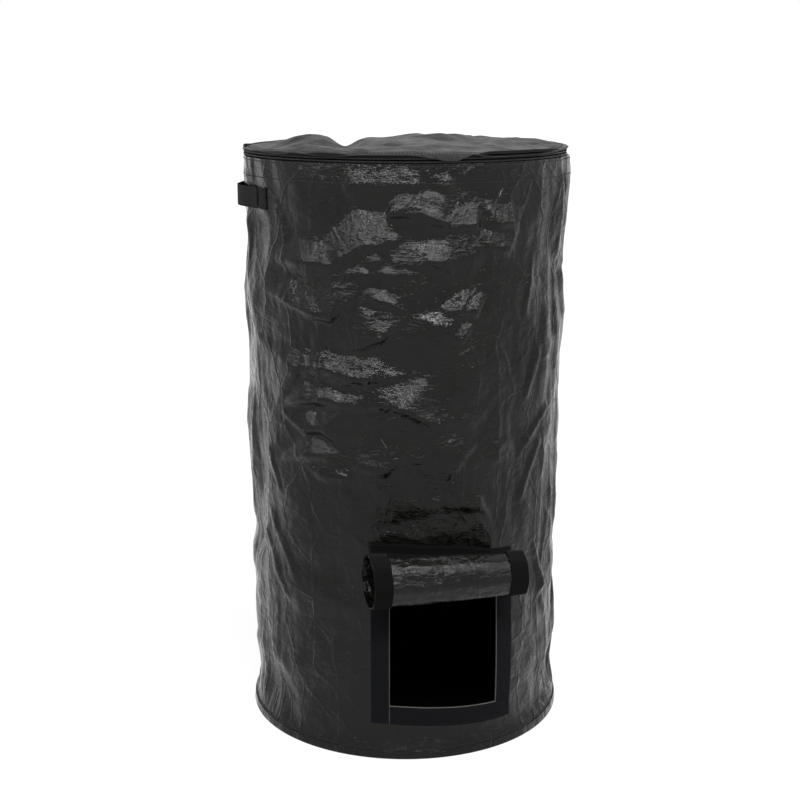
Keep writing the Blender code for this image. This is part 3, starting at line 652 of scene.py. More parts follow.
def make_wall():
    """The tube as one closed mesh, with the doorway cut in it."""
    def spread(low, high, count):
        """count even steps from low to high, without low itself."""
        return list(np.linspace(low, high, count + 1))[1:]

    azimuths = np.array(
        [-180.0] + spread(-180, -100, 54) + spread(-100, -DOOR_SPAN, 105)
        + spread(-DOOR_SPAN, DOOR_SPAN, 51) + spread(DOOR_SPAN, 100, 105) + spread(100, 180, 54))
    heights = np.array(
        [WALL_FOOT] + spread(WALL_FOOT, DOOR_SILL, 18) + spread(DOOR_SILL, DOOR_HEAD, 54)
        + spread(DOOR_HEAD, WALL_HEIGHT, 135))
    columns = len(azimuths) - 1
    a, z = np.meshgrid(azimuths[:-1], heights)
    radius = tube_radius(a, z) + crumple_at(a, z)
    level = z - sag(a, z)
    outer = around(a, radius, level).reshape(-1, 3)
    low = radius
    for shift in range(1, INNER_STEP + 1):
        low = np.minimum(low, np.minimum(np.roll(radius, shift, 1), np.roll(radius, -shift, 1)))
    lowest = low.copy()
    for shift in range(1, INNER_STEP + 1):
        lowest[shift:] = np.minimum(lowest[shift:], low[:-shift])
        lowest[:-shift] = np.minimum(lowest[:-shift], low[shift:])
    lowest = lowest - WALL_THICKNESS
    pick = (slice(None, None, INNER_STEP), slice(None, None, INNER_STEP))
    inner = around(a[pick], lowest[pick], level[pick]).reshape(-1, 3)
    inner_columns = columns // INNER_STEP
    inner_rows = (len(heights) - 1) // INNER_STEP + 1
    start = len(outer)

    def outer_at(j, i):
        return j * columns + i % columns

    def inner_at(j, i):
        return start + j * inner_columns + i % inner_columns

    door_i = [int(np.argmin(np.abs(azimuths - side * DOOR_SPAN))) for side in (-1, 1)]
    door_j = [int(np.argmin(np.abs(heights - level))) for level in (DOOR_SILL, DOOR_HEAD)]

    def in_door(j, i, size):
        return (door_i[0] <= i * size < door_i[1]) and (door_j[0] <= j * size < door_j[1])

    def skin(at, rows, across, size, corners):
        """The faces of one skin, each with its corners in the order given."""
        for j in range(rows):
            for i in range(across):
                if not in_door(j, i, size):
                    faces.append(tuple(at(j + up, i + over) for up, over in corners))

    faces = []
    skin(outer_at, len(heights) - 1, columns, 1, ((0, 0), (0, 1), (1, 1), (1, 0)))
    skin(inner_at, inner_rows - 1, inner_columns, INNER_STEP, ((0, 0), (1, 0), (1, 1), (0, 1)))

    def join(fine, coarse):
        """A face between INNER_STEP edges of the outer skin and one of the inner."""
        faces.append((*fine, *coarse))

    n = INNER_STEP
    for i in range(inner_columns):
        ring = range(i * n, i * n + n + 1)
        join([outer_at(0, k) for k in reversed(ring)], (inner_at(0, i), inner_at(0, i + 1)))
        top, inner_top = len(heights) - 1, inner_rows - 1
        join([outer_at(top, k) for k in ring], (inner_at(inner_top, i + 1), inner_at(inner_top, i)))
        if door_i[0] <= i * n < door_i[1]:
            sill, head = door_j
            join([outer_at(sill, k) for k in ring],
                 (inner_at(sill // n, i + 1), inner_at(sill // n, i)))
            join([outer_at(head, k) for k in reversed(ring)],
                 (inner_at(head // n, i), inner_at(head // n, i + 1)))
    for j in range(door_j[0] // n, door_j[1] // n):
        ring = range(j * n, j * n + n + 1)
        left, right = door_i
        join([outer_at(k, left) for k in reversed(ring)],
             (inner_at(j, left // n), inner_at(j + 1, left // n)))
        join([outer_at(k, right) for k in ring],
             (inner_at(j + 1, right // n), inner_at(j, right // n)))

    # The first and last columns are one, so a UV is given to each corner of a face
    points = np.concatenate((outer, inner))
    uvs = np.concatenate([
        np.stack(tube_uv(*at), -1).reshape(-1, 2) for at in ((a, z), (a[pick], z[pick]))])
    used = np.zeros(len(points), bool)
    used[np.concatenate([np.array(f) for f in faces])] = True
    renumber = np.cumsum(used) - 1
    faces = [tuple(int(renumber[k]) for k in f) for f in faces]
    piece = new_piece("bag_wall", points[used], faces, uvs[used], SHEET)
    layer = piece.data.uv_layers[0]
    values = np.empty(len(piece.data.loops) * 2, np.float32)
    layer.data.foreach_get("uv", values)
    values = values.reshape(-1, 2)
    starts = np.empty(len(piece.data.polygons), np.int32)
    totals = np.empty(len(piece.data.polygons), np.int32)
    piece.data.polygons.foreach_get("loop_start", starts)
    piece.data.polygons.foreach_get("loop_total", totals)
    farthest = np.maximum.reduceat(values[:, 0], starts)
    last = np.repeat(farthest, totals)
    values[:, 0] += metres(360) * ((last > 0.5) & (values[:, 0] < -0.5))
    layer.data.foreach_set("uv", values.ravel())
    alone(piece)
    bpy.ops.object.shade_smooth_by_angle(angle=math.radians(60))
    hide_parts("wall_panel")
    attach(piece, "bin")
    return piece


def make_floor():
    """The round floor, laid flat, its edge following the tube's foot."""
    radii = evenly(0.0005, tube_radius(180.0, WALL_FOOT) - 0.0002, 0.009)
    azimuths = np.linspace(0, 360, 121)

    def place(r, a):
        turned = (a + 180) % 360 - 180
        radius = r * tube_radius(turned, WALL_FOOT) / tube_radius(180.0, WALL_FOOT)
        return around(a, radius, 0.0015 + 0 * r)

    piece = cloth(
        "bag_floor", radii, azimuths, place, 0.0015, SHEET,
        uv=lambda r, a: (r * np.sin(np.radians(a)), r * np.cos(np.radians(a))))
    close_ring(piece)
    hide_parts("floor_panel")
    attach(piece, "bin")
    return piece


def close_ring(piece):
    """Merges the two ends of a ring, and takes out the faces between them."""
    alone(piece)
    bpy.ops.object.mode_set(mode="EDIT")
    bpy.ops.mesh.select_all(action="SELECT")
    bpy.ops.mesh.remove_doubles(threshold=1e-5)
    bpy.ops.mesh.select_all(action="DESELECT")
    bpy.ops.mesh.select_interior_faces()
    bpy.ops.mesh.delete(type="FACE")
    bpy.ops.object.mode_set(mode="OBJECT")


# Zip, hems and seams

COIL_OUTER = 0.225
COIL_DEPTH = 0.0025
ZIP_TAPE_THICKNESS = 0.0010
ZIP_OUTER = COIL_OUTER - COIL_DEPTH - SEAM_GAP
ZIP_INNER = ZIP_OUTER - ZIP_TAPE_THICKNESS
LOWER_ZIP_SPAN = 157.0
UPPER_ZIP_SPAN = 152.33
LOWER_COIL_FOOT = 0.8066
UPPER_TAPE_FOOT = 0.8106
LID_CLOTH_FOOT = 0.8161


def rim_lift(azimuth):
    """How far the lid's rim stands above its level."""
    return -np.minimum(edge_droop(azimuth), 0)


def ring_strip(name, reach, radius, rise, thickness, material, slot, body, node_name, waviness):
    """A band round the rim, as far to each side of the doorway as reach says."""
    whole = reach >= 180
    azimuths = evenly(-reach, reach, 1.5)
    heights = evenly(*rise, 0.003)

    def place(a, z):
        ripple = waviness * (np.sin(np.radians(a) * 23 + 1) + 0.6 * np.sin(np.radians(a) * 41))
        lifted = rim_lift(a) * step(z, 0.8104, 0.8160)
        return around(a, radius + ripple, z - sag(a, z) + lifted)

    piece = cloth(
        name, azimuths, heights, place, thickness, material, uv=tube_uv,
        edge=0.0 if whole else 0.0003)
    if whole:
        close_ring(piece)
    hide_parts(node_name)
    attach(piece, body)
    return piece


def make_coil(name, span, foot, body, node_name):
    """The zip's coil: one thread wound round and round, with its pitch and loop width."""
    pitch, loops_deep, loops_tall, thread = 0.0021, 0.0021, 0.0025, 0.00042
    length = math.radians(span * 2) * COIL_OUTER
    turns = int(length / pitch)
    per_turn, sides = 8, 4
    k = np.arange(turns * per_turn + 1)
    turn = k / per_turn * 2 * math.pi
    azimuth = -span + 2 * span * k / k[-1]
    middle = COIL_OUTER - COIL_DEPTH / 2
    radius = middle + np.cos(turn) * (loops_deep / 2 - thread / 2)
    height = foot + 0.0015 + np.sin(turn) * (loops_tall / 2 - thread / 2) - sag(azimuth, RIM_LEVEL)
    line = around(azimuth, radius, height)
    ahead = np.gradient(line, axis=0)
    ahead /= np.linalg.norm(ahead, axis=1)[:, None]
    outward = around(azimuth, 1.0, 0.0)
    side = np.cross(ahead, outward)
    side /= np.linalg.norm(side, axis=1)[:, None]
    other = np.cross(side, ahead)
    points = []
    for q in range(sides):
        angle = 2 * math.pi * (q + 0.5) / sides
        points.append(line + (side * math.cos(angle) + other * math.sin(angle)) * thread)
    points = np.stack(points, 1).reshape(-1, 3)
    faces = []
    for m in range(len(k) - 1):
        for q in range(sides):
            r = (q + 1) % sides
            faces.append((m * sides + q, m * sides + r, (m + 1) * sides + r, (m + 1) * sides + q))
    faces.append(tuple(range(sides))[::-1])
    faces.append(tuple((len(k) - 1) * sides + q for q in range(sides)))
    uvs = np.repeat(np.stack(tube_uv(azimuth, height), -1), sides, 0)
    piece = new_piece(name, points, faces, uvs, NYLON)
    turn_faces_out(piece)
    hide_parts(node_name)
    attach(piece, body)
    return piece


def make_rim():
    """The hem and the zip, with what rides on the bin first."""
    bands = (
        ("rim_hem_band", 180, ZIP_INNER - SEAM_GAP, (0.779, 0.804), 0.0010, SHEET,
         "coated_sheet", "bin", "rim_hem", 0.00010),
        ("zip_cloth_lower", LOWER_ZIP_SPAN, ZIP_OUTER, (0.7956, 0.8096), ZIP_TAPE_THICKNESS,
         ZIP_CLOTH, "zip_tape", "bin", "zip_tape_lower", 0.0),
        ("zip_cloth_upper", UPPER_ZIP_SPAN, ZIP_OUTER, (UPPER_TAPE_FOOT, LID_CLOTH_FOOT),
         ZIP_TAPE_THICKNESS, ZIP_CLOTH, "zip_tape", "lid", "zip_tape_upper", 0.0),
        ("lid_hem_band", 180, COIL_OUTER, (0.8139, LID_CLOTH_FOOT), 0.0022, SEAM_CLOTH,
         "coated_sheet", "lid", "lid_hem", 0.0),
    )
    made = [ring_strip(*band) for band in bands]
    coil_end = LOWER_ZIP_SPAN - math.degrees(0.0043 / WALL_RADIUS)
    make_coil("zip_coil_winding_lower", coil_end, LOWER_COIL_FOOT, "bin", "zip_coil_lower")
    make_coil("zip_coil_winding_upper", UPPER_ZIP_SPAN, UPPER_TAPE_FOOT, "lid", "zip_coil_upper")
    return made


def make_hinge_cloth():
    """The cloth hinge at the back, one strip from the tube to the lid's hem."""
    azimuths = evenly(180 - HINGE_SPAN, 180 + HINGE_SPAN, 1.0)
    bend = 0.8070
    heights = np.concatenate((
        evenly(HINGE_TAPE_FOOT, bend, 0.003), evenly(bend, LID_CLOTH_FOOT, 0.0006)[1:]))

    def place(a, z):
        turned = (a + 180) % 360 - 180
        on_wall = tube_radius(turned, z) + crumple_at(turned, z)
        share = step(z, 0.800, LOWER_COIL_FOOT)
        return around(a, SEAM_GAP + on_wall * (1 - share) + WALL_RADIUS * share, z - sag(a, z))

    piece = cloth(
        "lid_hinge_cloth", azimuths, heights, place, TAPE_THICKNESS * 0.8, SEAM_CLOTH,
        uv=tube_uv, outwards=True)
    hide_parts("lid_hinge_tape_lower", "lid_hinge_tape_upper")
    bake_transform(piece)
    return piece


def make_tube_trims():
    """The binding of the foot's seam and the tube's back seam."""
    binding = tube_strip(
        "foot_binding", (-180, 180), (0.0003, BINDING_HEIGHT), SEAM_GAP, 0.0007, SHEET,
        "seam_tape", edge=0.0)
    close_ring(binding)
    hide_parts("floor_binding")
    back_seam = tube_strip(
        "back_seam_strip", (180 - 2 * SEAM_SPAN, 180), (BINDING_HEIGHT + SEAM_GAP, 0.7797),
        SEAM_GAP, TAPE_THICKNESS, SHEET, "coated_sheet")
    turn_piece(back_seam, math.radians(SEAM_SPAN))
    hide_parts("wall_back_seam")
    for piece in (binding, back_seam):
        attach(piece, "bin")
    return [binding, back_seam]


def turn_piece(piece, angle):
    """Turns a piece's points about the bin's axis."""
    points = np.empty(len(piece.data.vertices) * 3, np.float32)
    piece.data.vertices.foreach_get("co", points)
    points = points.reshape(-1, 3)
    x, y = points[:, 0].copy(), points[:, 1].copy()
    points[:, 0] = x * math.cos(angle) - y * math.sin(angle)
    points[:, 1] = x * math.sin(angle) + y * math.cos(angle)
    piece.data.vertices.foreach_set("co", points.ravel())
    piece.data.update()


# Doorway

def make_door():
    """Hook tape, head tape, the sheet's edge, painted pale as a highlight, and the inner hem, round
    the doorway.
    """
    made = []

    def strip(name, node_name, span, rise, *laid, **more):
        piece = tube_strip(name, span, rise, *laid, **more)
        if node_name:
            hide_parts(node_name)
        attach(piece, "bin")
        made.append(piece)

    hem = 0.012
    hem_span = math.degrees(hem / WALL_RADIUS)
    hook = (SEAM_GAP, TAPE_THICKNESS, HOOK, "hook_tape")
    below_head = DOOR_HEAD - SEAM_GAP
    strip("hook_strip_left", "hook_tape_left", (-FRAME_SPAN, -DOOR_SPAN),
          (FRAME_FOOT, below_head), *hook)
    strip("hook_strip_right", "hook_tape_right", (DOOR_SPAN, FRAME_SPAN),
          (DOOR_SILL + SEAM_GAP, below_head), *hook)
    strip("hook_strip_sill", "hook_tape_sill", (-DOOR_SPAN + 0.27, FRAME_SPAN),
          (FRAME_FOOT, DOOR_SILL), *hook)
    strip("flap_seam_strip", "flap_head_tape", (-FRAME_SPAN, FRAME_SPAN),
          (DOOR_HEAD, HEAD_TAPE_TOP), SEAM_GAP, TAPE_THICKNESS, LOOP, "loop_tape")
    # The edge lips below carry a painted highlight: their colour is far paler than the sheet's.
    lip, back = 0.25, 0.001
    for side, span, rise in (
            ("left", (-DOOR_SPAN, -DOOR_SPAN + lip), (FRAME_FOOT, DOOR_HEAD - back)),
            ("right", (DOOR_SPAN - lip, DOOR_SPAN), (DOOR_SILL + back, DOOR_HEAD - back)),
            ("sill", (-DOOR_SPAN + lip, DOOR_SPAN), (DOOR_SILL, DOOR_SILL + back))):
        strip(f"doorway_edge_{side}", None, span, rise, -WALL_THICKNESS, WALL_THICKNESS * 2.4,
              EDGE_PAINTED_HIGHLIGHT, "coated_sheet", edge=0.0003)
    sides = (DOOR_SILL - hem, DOOR_HEAD + hem)
    between_sides = (-DOOR_SPAN + 0.06, DOOR_SPAN - 0.06)
    for side, span, rise in (
            ("left", (-DOOR_SPAN - hem_span, -DOOR_SPAN), sides),
            ("right", (DOOR_SPAN, DOOR_SPAN + hem_span), sides),
            ("sill", between_sides, (DOOR_SILL - hem, DOOR_SILL)),
            ("head", between_sides, (DOOR_HEAD, DOOR_HEAD + hem))):
        strip(f"doorway_hem_{side}", "door_hem", span, rise, -WALL_THICKNESS - SEAM_GAP * 3,
              WALL_THICKNESS, SHEET, "coated_sheet", outwards=False)
    return made


# Flap

def roll_point(x, length, depth):
    """Points of the rolled flap after a length of it, at a depth in from the roll's outside.

    The roll is slacker at its left end and its right end hangs lower.
    """
    turn = (ROLL_RADIUS - np.sqrt(ROLL_RADIUS**2 - 2 * ROLL_SHRINK * length)) / ROLL_SHRINK
    share = (x - FLAP_LEFT) / (FLAP_RIGHT - FLAP_LEFT)
    tight = 1.06 - 0.20 * share
    along = (length / FOLD_LENGTH) % 1.0
    flattened = FOLD_LENGTH**2 / (16 * ROLL_RADIUS) * np.sin(math.pi * along) ** 2
    radius = ROLL_RADIUS - ROLL_SHRINK * turn - depth / tight - flattened
    front = ROLL_BACK + tight * (ROLL_RADIUS - radius * np.cos(turn))
    bowed = 0.0050 * (2 * share - 1) ** 2
    height = ROLL_HEIGHT + 0.0035 - 0.0085 * share - tight * radius * np.sin(turn)
    return np.stack(np.broadcast_arrays(x, bowed - front, height), -1)


def blend_flap(piece, fold):
    """Bakes a piece's transform. The ends of the bend between the fold above a hinge line and the
    fold below it are worked out but not used, so the piece is not bent.
    """
    hinge = fold * FOLD_LENGTH
    straight = 0.0075  # unbent length on either side of a link's middle
    if fold == 0:
        end = roll_point(0.0, FOLD_LENGTH / 2 - straight, 0.001)
        start = (0, -ROLL_BACK, ROLL_HEIGHT + 0.009)
    else:
        start = roll_point(0.0, hinge - FOLD_LENGTH / 2 + straight, 0.001)
        end = roll_point(0.0, hinge + FOLD_LENGTH / 2 - straight, 0.001)
    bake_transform(piece)


def make_header():
    """The start of the flap: from its curved seam to the straight line where the roll begins."""
    seam_height = DOOR_HEAD + HOOK_WIDTH / 2
    seam_out = SEAM_GAP * 2 + TAPE_THICKNESS
    shares = np.linspace(0, 1, 73)
    rolled_length = 0.02
    lengths = np.concatenate((
        np.linspace(-1, 0, 15)[:-1], evenly(0, FOLD_LENGTH / 2, 0.0015) / rolled_length))

    def place(s, d):
        x = FLAP_LEFT + (FLAP_RIGHT - FLAP_LEFT) * s
        seam = on_tube((2 * s - 1) * FRAME_SPAN, seam_height + 0 * s, seam_out + FLAP_THICKNESS)
        straight = roll_point(x, 0 * s, SHEET_DEPTH)
        share = np.clip(-d, 0, 1)
        ease = share + 0.25 * np.sin(2 * math.pi * share) / (2 * math.pi)
        drawn = straight + (seam - straight) * ease[:, None]
        rolled = roll_point(x, np.clip(d, 0, 1) * rolled_length, SHEET_DEPTH)
        return np.where((d > 0)[:, None], rolled, drawn)

    piece = cloth(
        "flap_cloth_1", shares, lengths, place, FLAP_THICKNESS, LOOP,
        uv=lambda s, d: (s * 0.218, d * rolled_length + 0.5))
    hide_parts("flap_header")
    blend_flap(piece, 0)
    return piece


def fleece(name, across, lengths):
    """Loop tape on the flap's outer side."""
    return cloth(
        name, across, lengths, lambda x, d: roll_point(x, d, 0.0), LOOP_THICKNESS, LOOP,
        uv=lambda x, d: (x, d))


def make_flap():
    """The flap's cloths, and for each the fleece that is sewn on it."""
    cloths, sewn_on = [make_header()], []
    columns = evenly(FLAP_LEFT, FLAP_RIGHT, 0.0031)
    for fold in range(1, FLAP_FOLDS + 1):
        first = (fold - 0.5) * FOLD_LENGTH
        last = (fold + 0.5) * FOLD_LENGTH if fold < FLAP_FOLDS else FLAP_FOLDS * FOLD_LENGTH
        lengths = evenly(first, last, 0.0015)
        piece = cloth(
            f"flap_cloth_{fold + 1}", columns, lengths, lambda x, d: roll_point(x, d, SHEET_DEPTH),
            FLAP_THICKNESS, SHEET, uv=lambda x, d: (x, 0.5 - d))
        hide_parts(f"flap_sheet_{fold}")
        if fold < FLAP_FOLDS:
            blend_flap(piece, fold)
        else:
            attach(piece, f"flap_fold_{FLAP_FOLDS}")
        cloths.append(piece)
    for fold in range(FLAP_FOLDS):
        first = max(0.0006, (fold - 0.5) * FOLD_LENGTH)
        last = min((fold + 0.5) * FOLD_LENGTH, (FLAP_FOLDS - 0.5) * FOLD_LENGTH)
        pair = []
        for side, edge in (("left", (FLAP_LEFT, FLAP_LEFT + LOOP_WIDTH)),
                           ("right", (FLAP_RIGHT - LOOP_WIDTH, FLAP_RIGHT))):
            lengths = evenly(first, last, 0.0015)
            piece = fleece(f"flap_fleece_{side}_{fold + 1}", evenly(*edge, 0.003), lengths)
            if fold < FLAP_FOLDS - 1:
                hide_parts(f"flap_loop_{side}_{fold + 1}")
            blend_flap(piece, fold)
            pair.append(piece)
        sewn_on.append(pair)
    lengths = evenly((FLAP_FOLDS - 0.5) * FOLD_LENGTH, FLAP_FOLDS * FOLD_LENGTH, 0.0015)
    foot = fleece("flap_fleece_foot", columns, lengths)
    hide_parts("flap_loop_foot")
    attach(foot, f"flap_fold_{FLAP_FOLDS}")
    return cloths, sewn_on + [[foot]]


# Lid

def lid_level(radius, azimuth):
    """Height of the lid's upper face, from its distance to the axis and its azimuth."""
    share = radius / WALL_RADIUS
    crown = 0.006 * (1 - share**2)
    fold = np.cos(np.radians(2 * azimuth + 70)) + 0.6 * np.cos(np.radians(3 * azimuth - 40))
    wave = 0.0050 * fold * share * (1 - share**4)
    x, y = radius * np.sin(np.radians(azimuth)), -radius * np.cos(np.radians(azimuth))
    across, deep = x * 0.9686 - y * 0.2487, x * 0.2487 + y * 0.9686
    for middle_across, middle_deep, half_across, half_deep, rise in LID_HUMPS:
        off = (
            ((across - middle_across) / half_across) ** 2 + ((deep - middle_deep) / half_deep) ** 2)
        wave = wave + rise * np.exp(-off)
    loose = step(-share, -1.0, -0.90)
    creases = lid_crumple(x * 1000, y * 1000) * loose
    return LID_FOOT + 0.0015 + crown + wave * (0.25 + 0.75 * loose) + creases


# Slack parts of the lid: middle across and deep, half sizes, and height, in metres. They
# are laid out square to the photograph's view.
LID_HUMPS = (
    (-0.129, -0.030, 0.034, 0.090, 0.0085),
    (-0.084, 0.080, 0.017, 0.220, -0.0125),
    (0.045, 0.060, 0.065, 0.110, 0.0028),
    (0.170, 0.060, 0.050, 0.080, 0.0030),
    (-0.190, 0.000, 0.018, 0.090, -0.0060),
)

# Droops of the lid's free edge: azimuth, half spans to the left and right, and depth
EDGE_DROOPS = (
    (1.0, 10.0, 5.5, 0.0090),
    (-62.0, 8.0, 8.0, 0.0048),
    (-42.0, 9.0, 9.0, -0.0022),
    (15.0, 6.0, 12.0, -0.0036),
    (34.0, 12.0, 16.0, -0.0036),
    (-104.0, 12.0, 12.0, -0.0030),
)


def edge_droop(azimuth):
    """How far the lid's free edge hangs down, or stands up where it is below 0."""
    total = 0 * azimuth
    for middle, left, right, depth in EDGE_DROOPS:
        off = azimuth - middle
        total = total + depth * np.exp(-(off / np.where(off < 0, left, right)) ** 2)
    return total


# The lid's crumple map, a point to a millimetre, and its layers of facets: seed of the draw,
# spacing in millimetres, depth, and how often its creases are smoothed
LID_HALF = 240
LID_GRID = np.linspace(-LID_HALF, LID_HALF, 2 * LID_HALF + 1)
LID_LAYERS = ((5, 64.0, 0.0036, 4), (7, 34.0, 0.0026, 2), (9, 17.0, 0.0010, 1))
LID_SPREAD = 520


def make_lid_map():
    """Heights of the lid's creases on the grid."""
    total = np.zeros((len(LID_GRID), len(LID_GRID)))
    for seed, spacing, depth, passes in LID_LAYERS:
        draw = np.random.RandomState(seed)
        points, depths = [], []
        count = int(LID_SPREAD / spacing)
        for j in range(count + 1):
            for i in range(count + 1):
                points.append([
                    (k + draw.uniform(-0.45, 0.45)) * LID_SPREAD / count - LID_SPREAD / 2
                    for k in (i, j)])
                depths.append(draw.uniform(-depth, depth))
        total += smooth(facets(points, depths, LID_GRID, LID_GRID), passes)
    return total


LID_MAP = make_lid_map()


def lid_crumple(x, y):
    """Height of the lid's creases at a place in millimetres from its middle."""
    far = 2 * LID_HALF - 0.001
    return read_map(LID_MAP, np.clip(y + LID_HALF, 0, far), np.clip(x + LID_HALF, 0, far))


def make_lid():
    """The lid's round cloth, finer toward the edge, where it turns down over the hem."""
    fine_from, turn_down, reach = 0.216, 0.2255, 0.2290
    radii = np.concatenate((
        evenly(0.0008, fine_from, 0.0036), evenly(fine_from, reach, 0.0013)[1:]))
    azimuths = np.linspace(-180, 180, 361)

    def place(r, a):
        level = lid_level(np.minimum(r, WALL_RADIUS), a)
        over = np.maximum(r - turn_down, 0) / 0.0035
        droop = edge_droop(a)
        hang = over * np.maximum(droop, 0.0012) - step(r, 0.21, 0.225) * np.minimum(droop, 0)
        out = np.minimum(r, turn_down) + over * (0.0016 - 0.0006 * step(hang, 0.002, 0.006))
        return around(a, out, level - hang - sag(a, RIM_LEVEL) * step(r, 0.03, 0.14))

    piece = cloth(
        "lid_cloth", radii, azimuths, place, 0.0012, LID_SHEET_PAINTED_PALER,
        uv=lambda r, a: (r * np.sin(np.radians(a)), -r * np.cos(np.radians(a))))
    close_ring(piece)
    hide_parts("lid_panel")
    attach(piece, "lid")
    return piece


# Handles

def make_handles():
    """Two sewn ends and a loose loop on each side."""
    for side, name in ((-1, "left"), (1, "right")):
        rise = (HANDLE_HEIGHT - HANDLE_WIDTH / 2, HANDLE_HEIGHT + HANDLE_WIDTH / 2)
        inner = HANDLE_SPAN - HANDLE_TAB
        for end, toward in (("front", -1), ("rear", 1)):
            edges = sorted((side * (90 + toward * HANDLE_SPAN), side * (90 + toward * inner)))
            piece = tube_strip(
                f"handle_end_{name}_{end}", edges, rise, SEAM_GAP, HANDLE_THICKNESS, WEBBING,
                "webbing", fine=0.0025)
            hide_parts(f"handle_{name}_{end}_tab")
            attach(piece, "bin")
        start = 0.2257 - 0.0060 * hump(HANDLE_HEIGHT, 0.260, 0.420)
        reach = inner - math.degrees(0.0004 / start)

        def place(a, z, side=side, start=start, reach=reach):
            share = (a - side * 90) / reach
            radius = start + 0.0085 * hump(share, 0, 1)
            return around(a, radius, z)

        span = (side * 90 - reach, side * 90 + reach)
        piece = cloth(
            f"handle_strap_{name}", evenly(*span, 0.5), evenly(*rise, 0.0025), place,
            HANDLE_THICKNESS, WEBBING, uv=tube_uv, outwards=True, edge=0.0005)
        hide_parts(f"handle_{name}_loop")
        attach(piece, f"handle_{name}")


# Stitching

def sew(name, lines, body, material=None, thread=0.00034):
    """Rows of stitches as one piece. Each line gives its stitches' starts, ends and ways out."""
    points, faces = [], []
    for starts, ends, outs in lines:
        for start, end, out in zip(starts, ends, outs):
            ahead = (end - start) / np.linalg.norm(end - start)
            side = np.cross(ahead, out)
            first = len(points)
            for share, rise in ((0.0, 0.0), (0.25, 1.0), (0.75, 1.0), (1.0, 0.0)):
                middle = start + (end - start) * share + out * (rise * thread * 1.3)
                for across, up in ((1, 0.6), (-1, 0.6), (-1, -1.2), (1, -1.2)):
                    points.append(middle + side * (across * thread) + out * (up * thread))
            for ring in range(3):
                for q in range(4):
                    a, b = first + ring * 4 + q, first + ring * 4 + (q + 1) % 4
                    faces.append((a, b, b + 4, a + 4))
            faces.append((first + 3, first + 2, first + 1, first))
            faces.append((first + 12, first + 13, first + 14, first + 15))
    points = np.array(points)
    piece = new_piece(name, points, faces, points[:, :2], material or THREAD)
    turn_faces_out(piece)
    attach(piece, body)
    return piece


def row_on_tube(start, end, offset, pitch=0.0048, stitch=0.0034):
    """Stitches along a line on the tube from start to end, each (azimuth, height)."""
    length = math.hypot(metres(end[0] - start[0]), end[1] - start[1])
    count = max(1, int(length / pitch))
    first = (np.arange(count) + 0.5 - stitch / pitch / 2) / count
    last = (np.arange(count) + 0.5 + stitch / pitch / 2) / count

    def at(share, lift=0.0):
        azimuth, height = (low + (high - low) * share for low, high in zip(start, end))
        return on_tube(azimuth, height, offset + lift)

    outs = at((first + last) / 2, 0.001) - at((first + last) / 2)
    return at(first), at(last), outs / np.linalg.norm(outs, axis=1)[:, None]


def make_stitching():
    """Stitches along the tapes and hems. The last piece is the lid's, the others the bin's."""
    on_tape, on_webbing = SEAM_GAP + TAPE_THICKNESS, 0.0021
    inner, outer = DOOR_SPAN + 0.7, FRAME_SPAN - 0.7
    low, high = FRAME_FOOT + 0.0028, DOOR_SILL - 0.0028
    top, inner_top = HEAD_TAPE_TOP - 0.003, HEAD_TAPE_TOP - 0.028
    # The rim, foot and lid rows take the paler thread, a painted highlight on their stitch lines.
    rim_rows = [row_on_tube((-157, z), (157, z), 0.0) for z in (0.7815, 0.8025)]
    door_rows = (
        ((-outer, low), (-outer, top)), ((-inner, high), (-inner, inner_top)),
        ((outer, low), (outer, top)), ((inner, high), (inner, inner_top)),
        ((-outer, low), (outer, low)), ((-inner, high), (inner, high)),
        ((-outer, top), (outer, top)))
    made = [
        sew("rim_stitching", rim_rows, "bin"),
        sew("foot_stitching", [row_on_tube((-180, 0.0125), (180, 0.0125), 0.0)], "bin"),
        sew("doorway_stitching", [row_on_tube(*row, on_tape) for row in door_rows], "bin",
            DARK_THREAD),
    ]
    levels = (HANDLE_HEIGHT - 0.0115, HANDLE_HEIGHT + 0.0115)
    rows = []
    for side in (-1, 1):
        for end in (-1, 1):
            near = side * 90 + end * (HANDLE_SPAN - 0.7)
            far = side * 90 + end * (HANDLE_SPAN - HANDLE_TAB + 0.9)
            rows += [row_on_tube((near, z), (far, z), on_webbing) for z in levels]
            rows += [row_on_tube((a, levels[0]), (a, levels[1]), on_webbing) for a in (near, far)]
    made.append(sew("handle_stitching", rows, "bin", DARK_THREAD))
    count, stitch = 300, 0.86
    turn = np.arange(count) * 360 / count - 180
    radius = 0.2185 + 0 * turn
    starts, ends = [
        around(a, radius, lid_level(radius, a) - sag(a, RIM_LEVEL)) for a in (turn, turn + stitch)]
    upwards = np.tile((0.0, 0.0, 1.0), (count, 1))
    made.append(sew("lid_stitching", [(starts, ends, upwards)], "lid"))
    return made


def dress_hard_pieces():
    """Gives the zip's metal pieces their finish."""
    for name in ("zip_slider", "zip_slider_crown", "zip_pull", "zip_stop_closed", "zip_stop_open"):
        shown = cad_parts[name]
        shown = bpy.data.objects[shown] if isinstance(shown, str) else shown
        for spot in shown.material_slots:
            spot.material = METAL


# Camera, floor and lamps

def make_camera():
    """The camera that was fitted to the photograph's rim, lid and foot."""
    azimuth, distance, height, tilt = math.radians(-14.4), 2.0016, 0.9247, 0.2323
    shift = -0.0071
    data = bpy.data.cameras.new("camera")
    data.lens = 63.53
    data.sensor_width = 36.0
    camera = bpy.data.objects.new("camera", data)
    bpy.context.collection.objects.link(camera)
    right = Vector((math.cos(azimuth), math.sin(azimuth), 0))
    camera.location = Vector((math.sin(azimuth), -math.cos(azimuth), 0)) * distance + right * shift
    camera.location.z = height
    camera.rotation_euler = (math.pi / 2 - tilt, 0, azimuth)
    bpy.context.scene.camera = camera


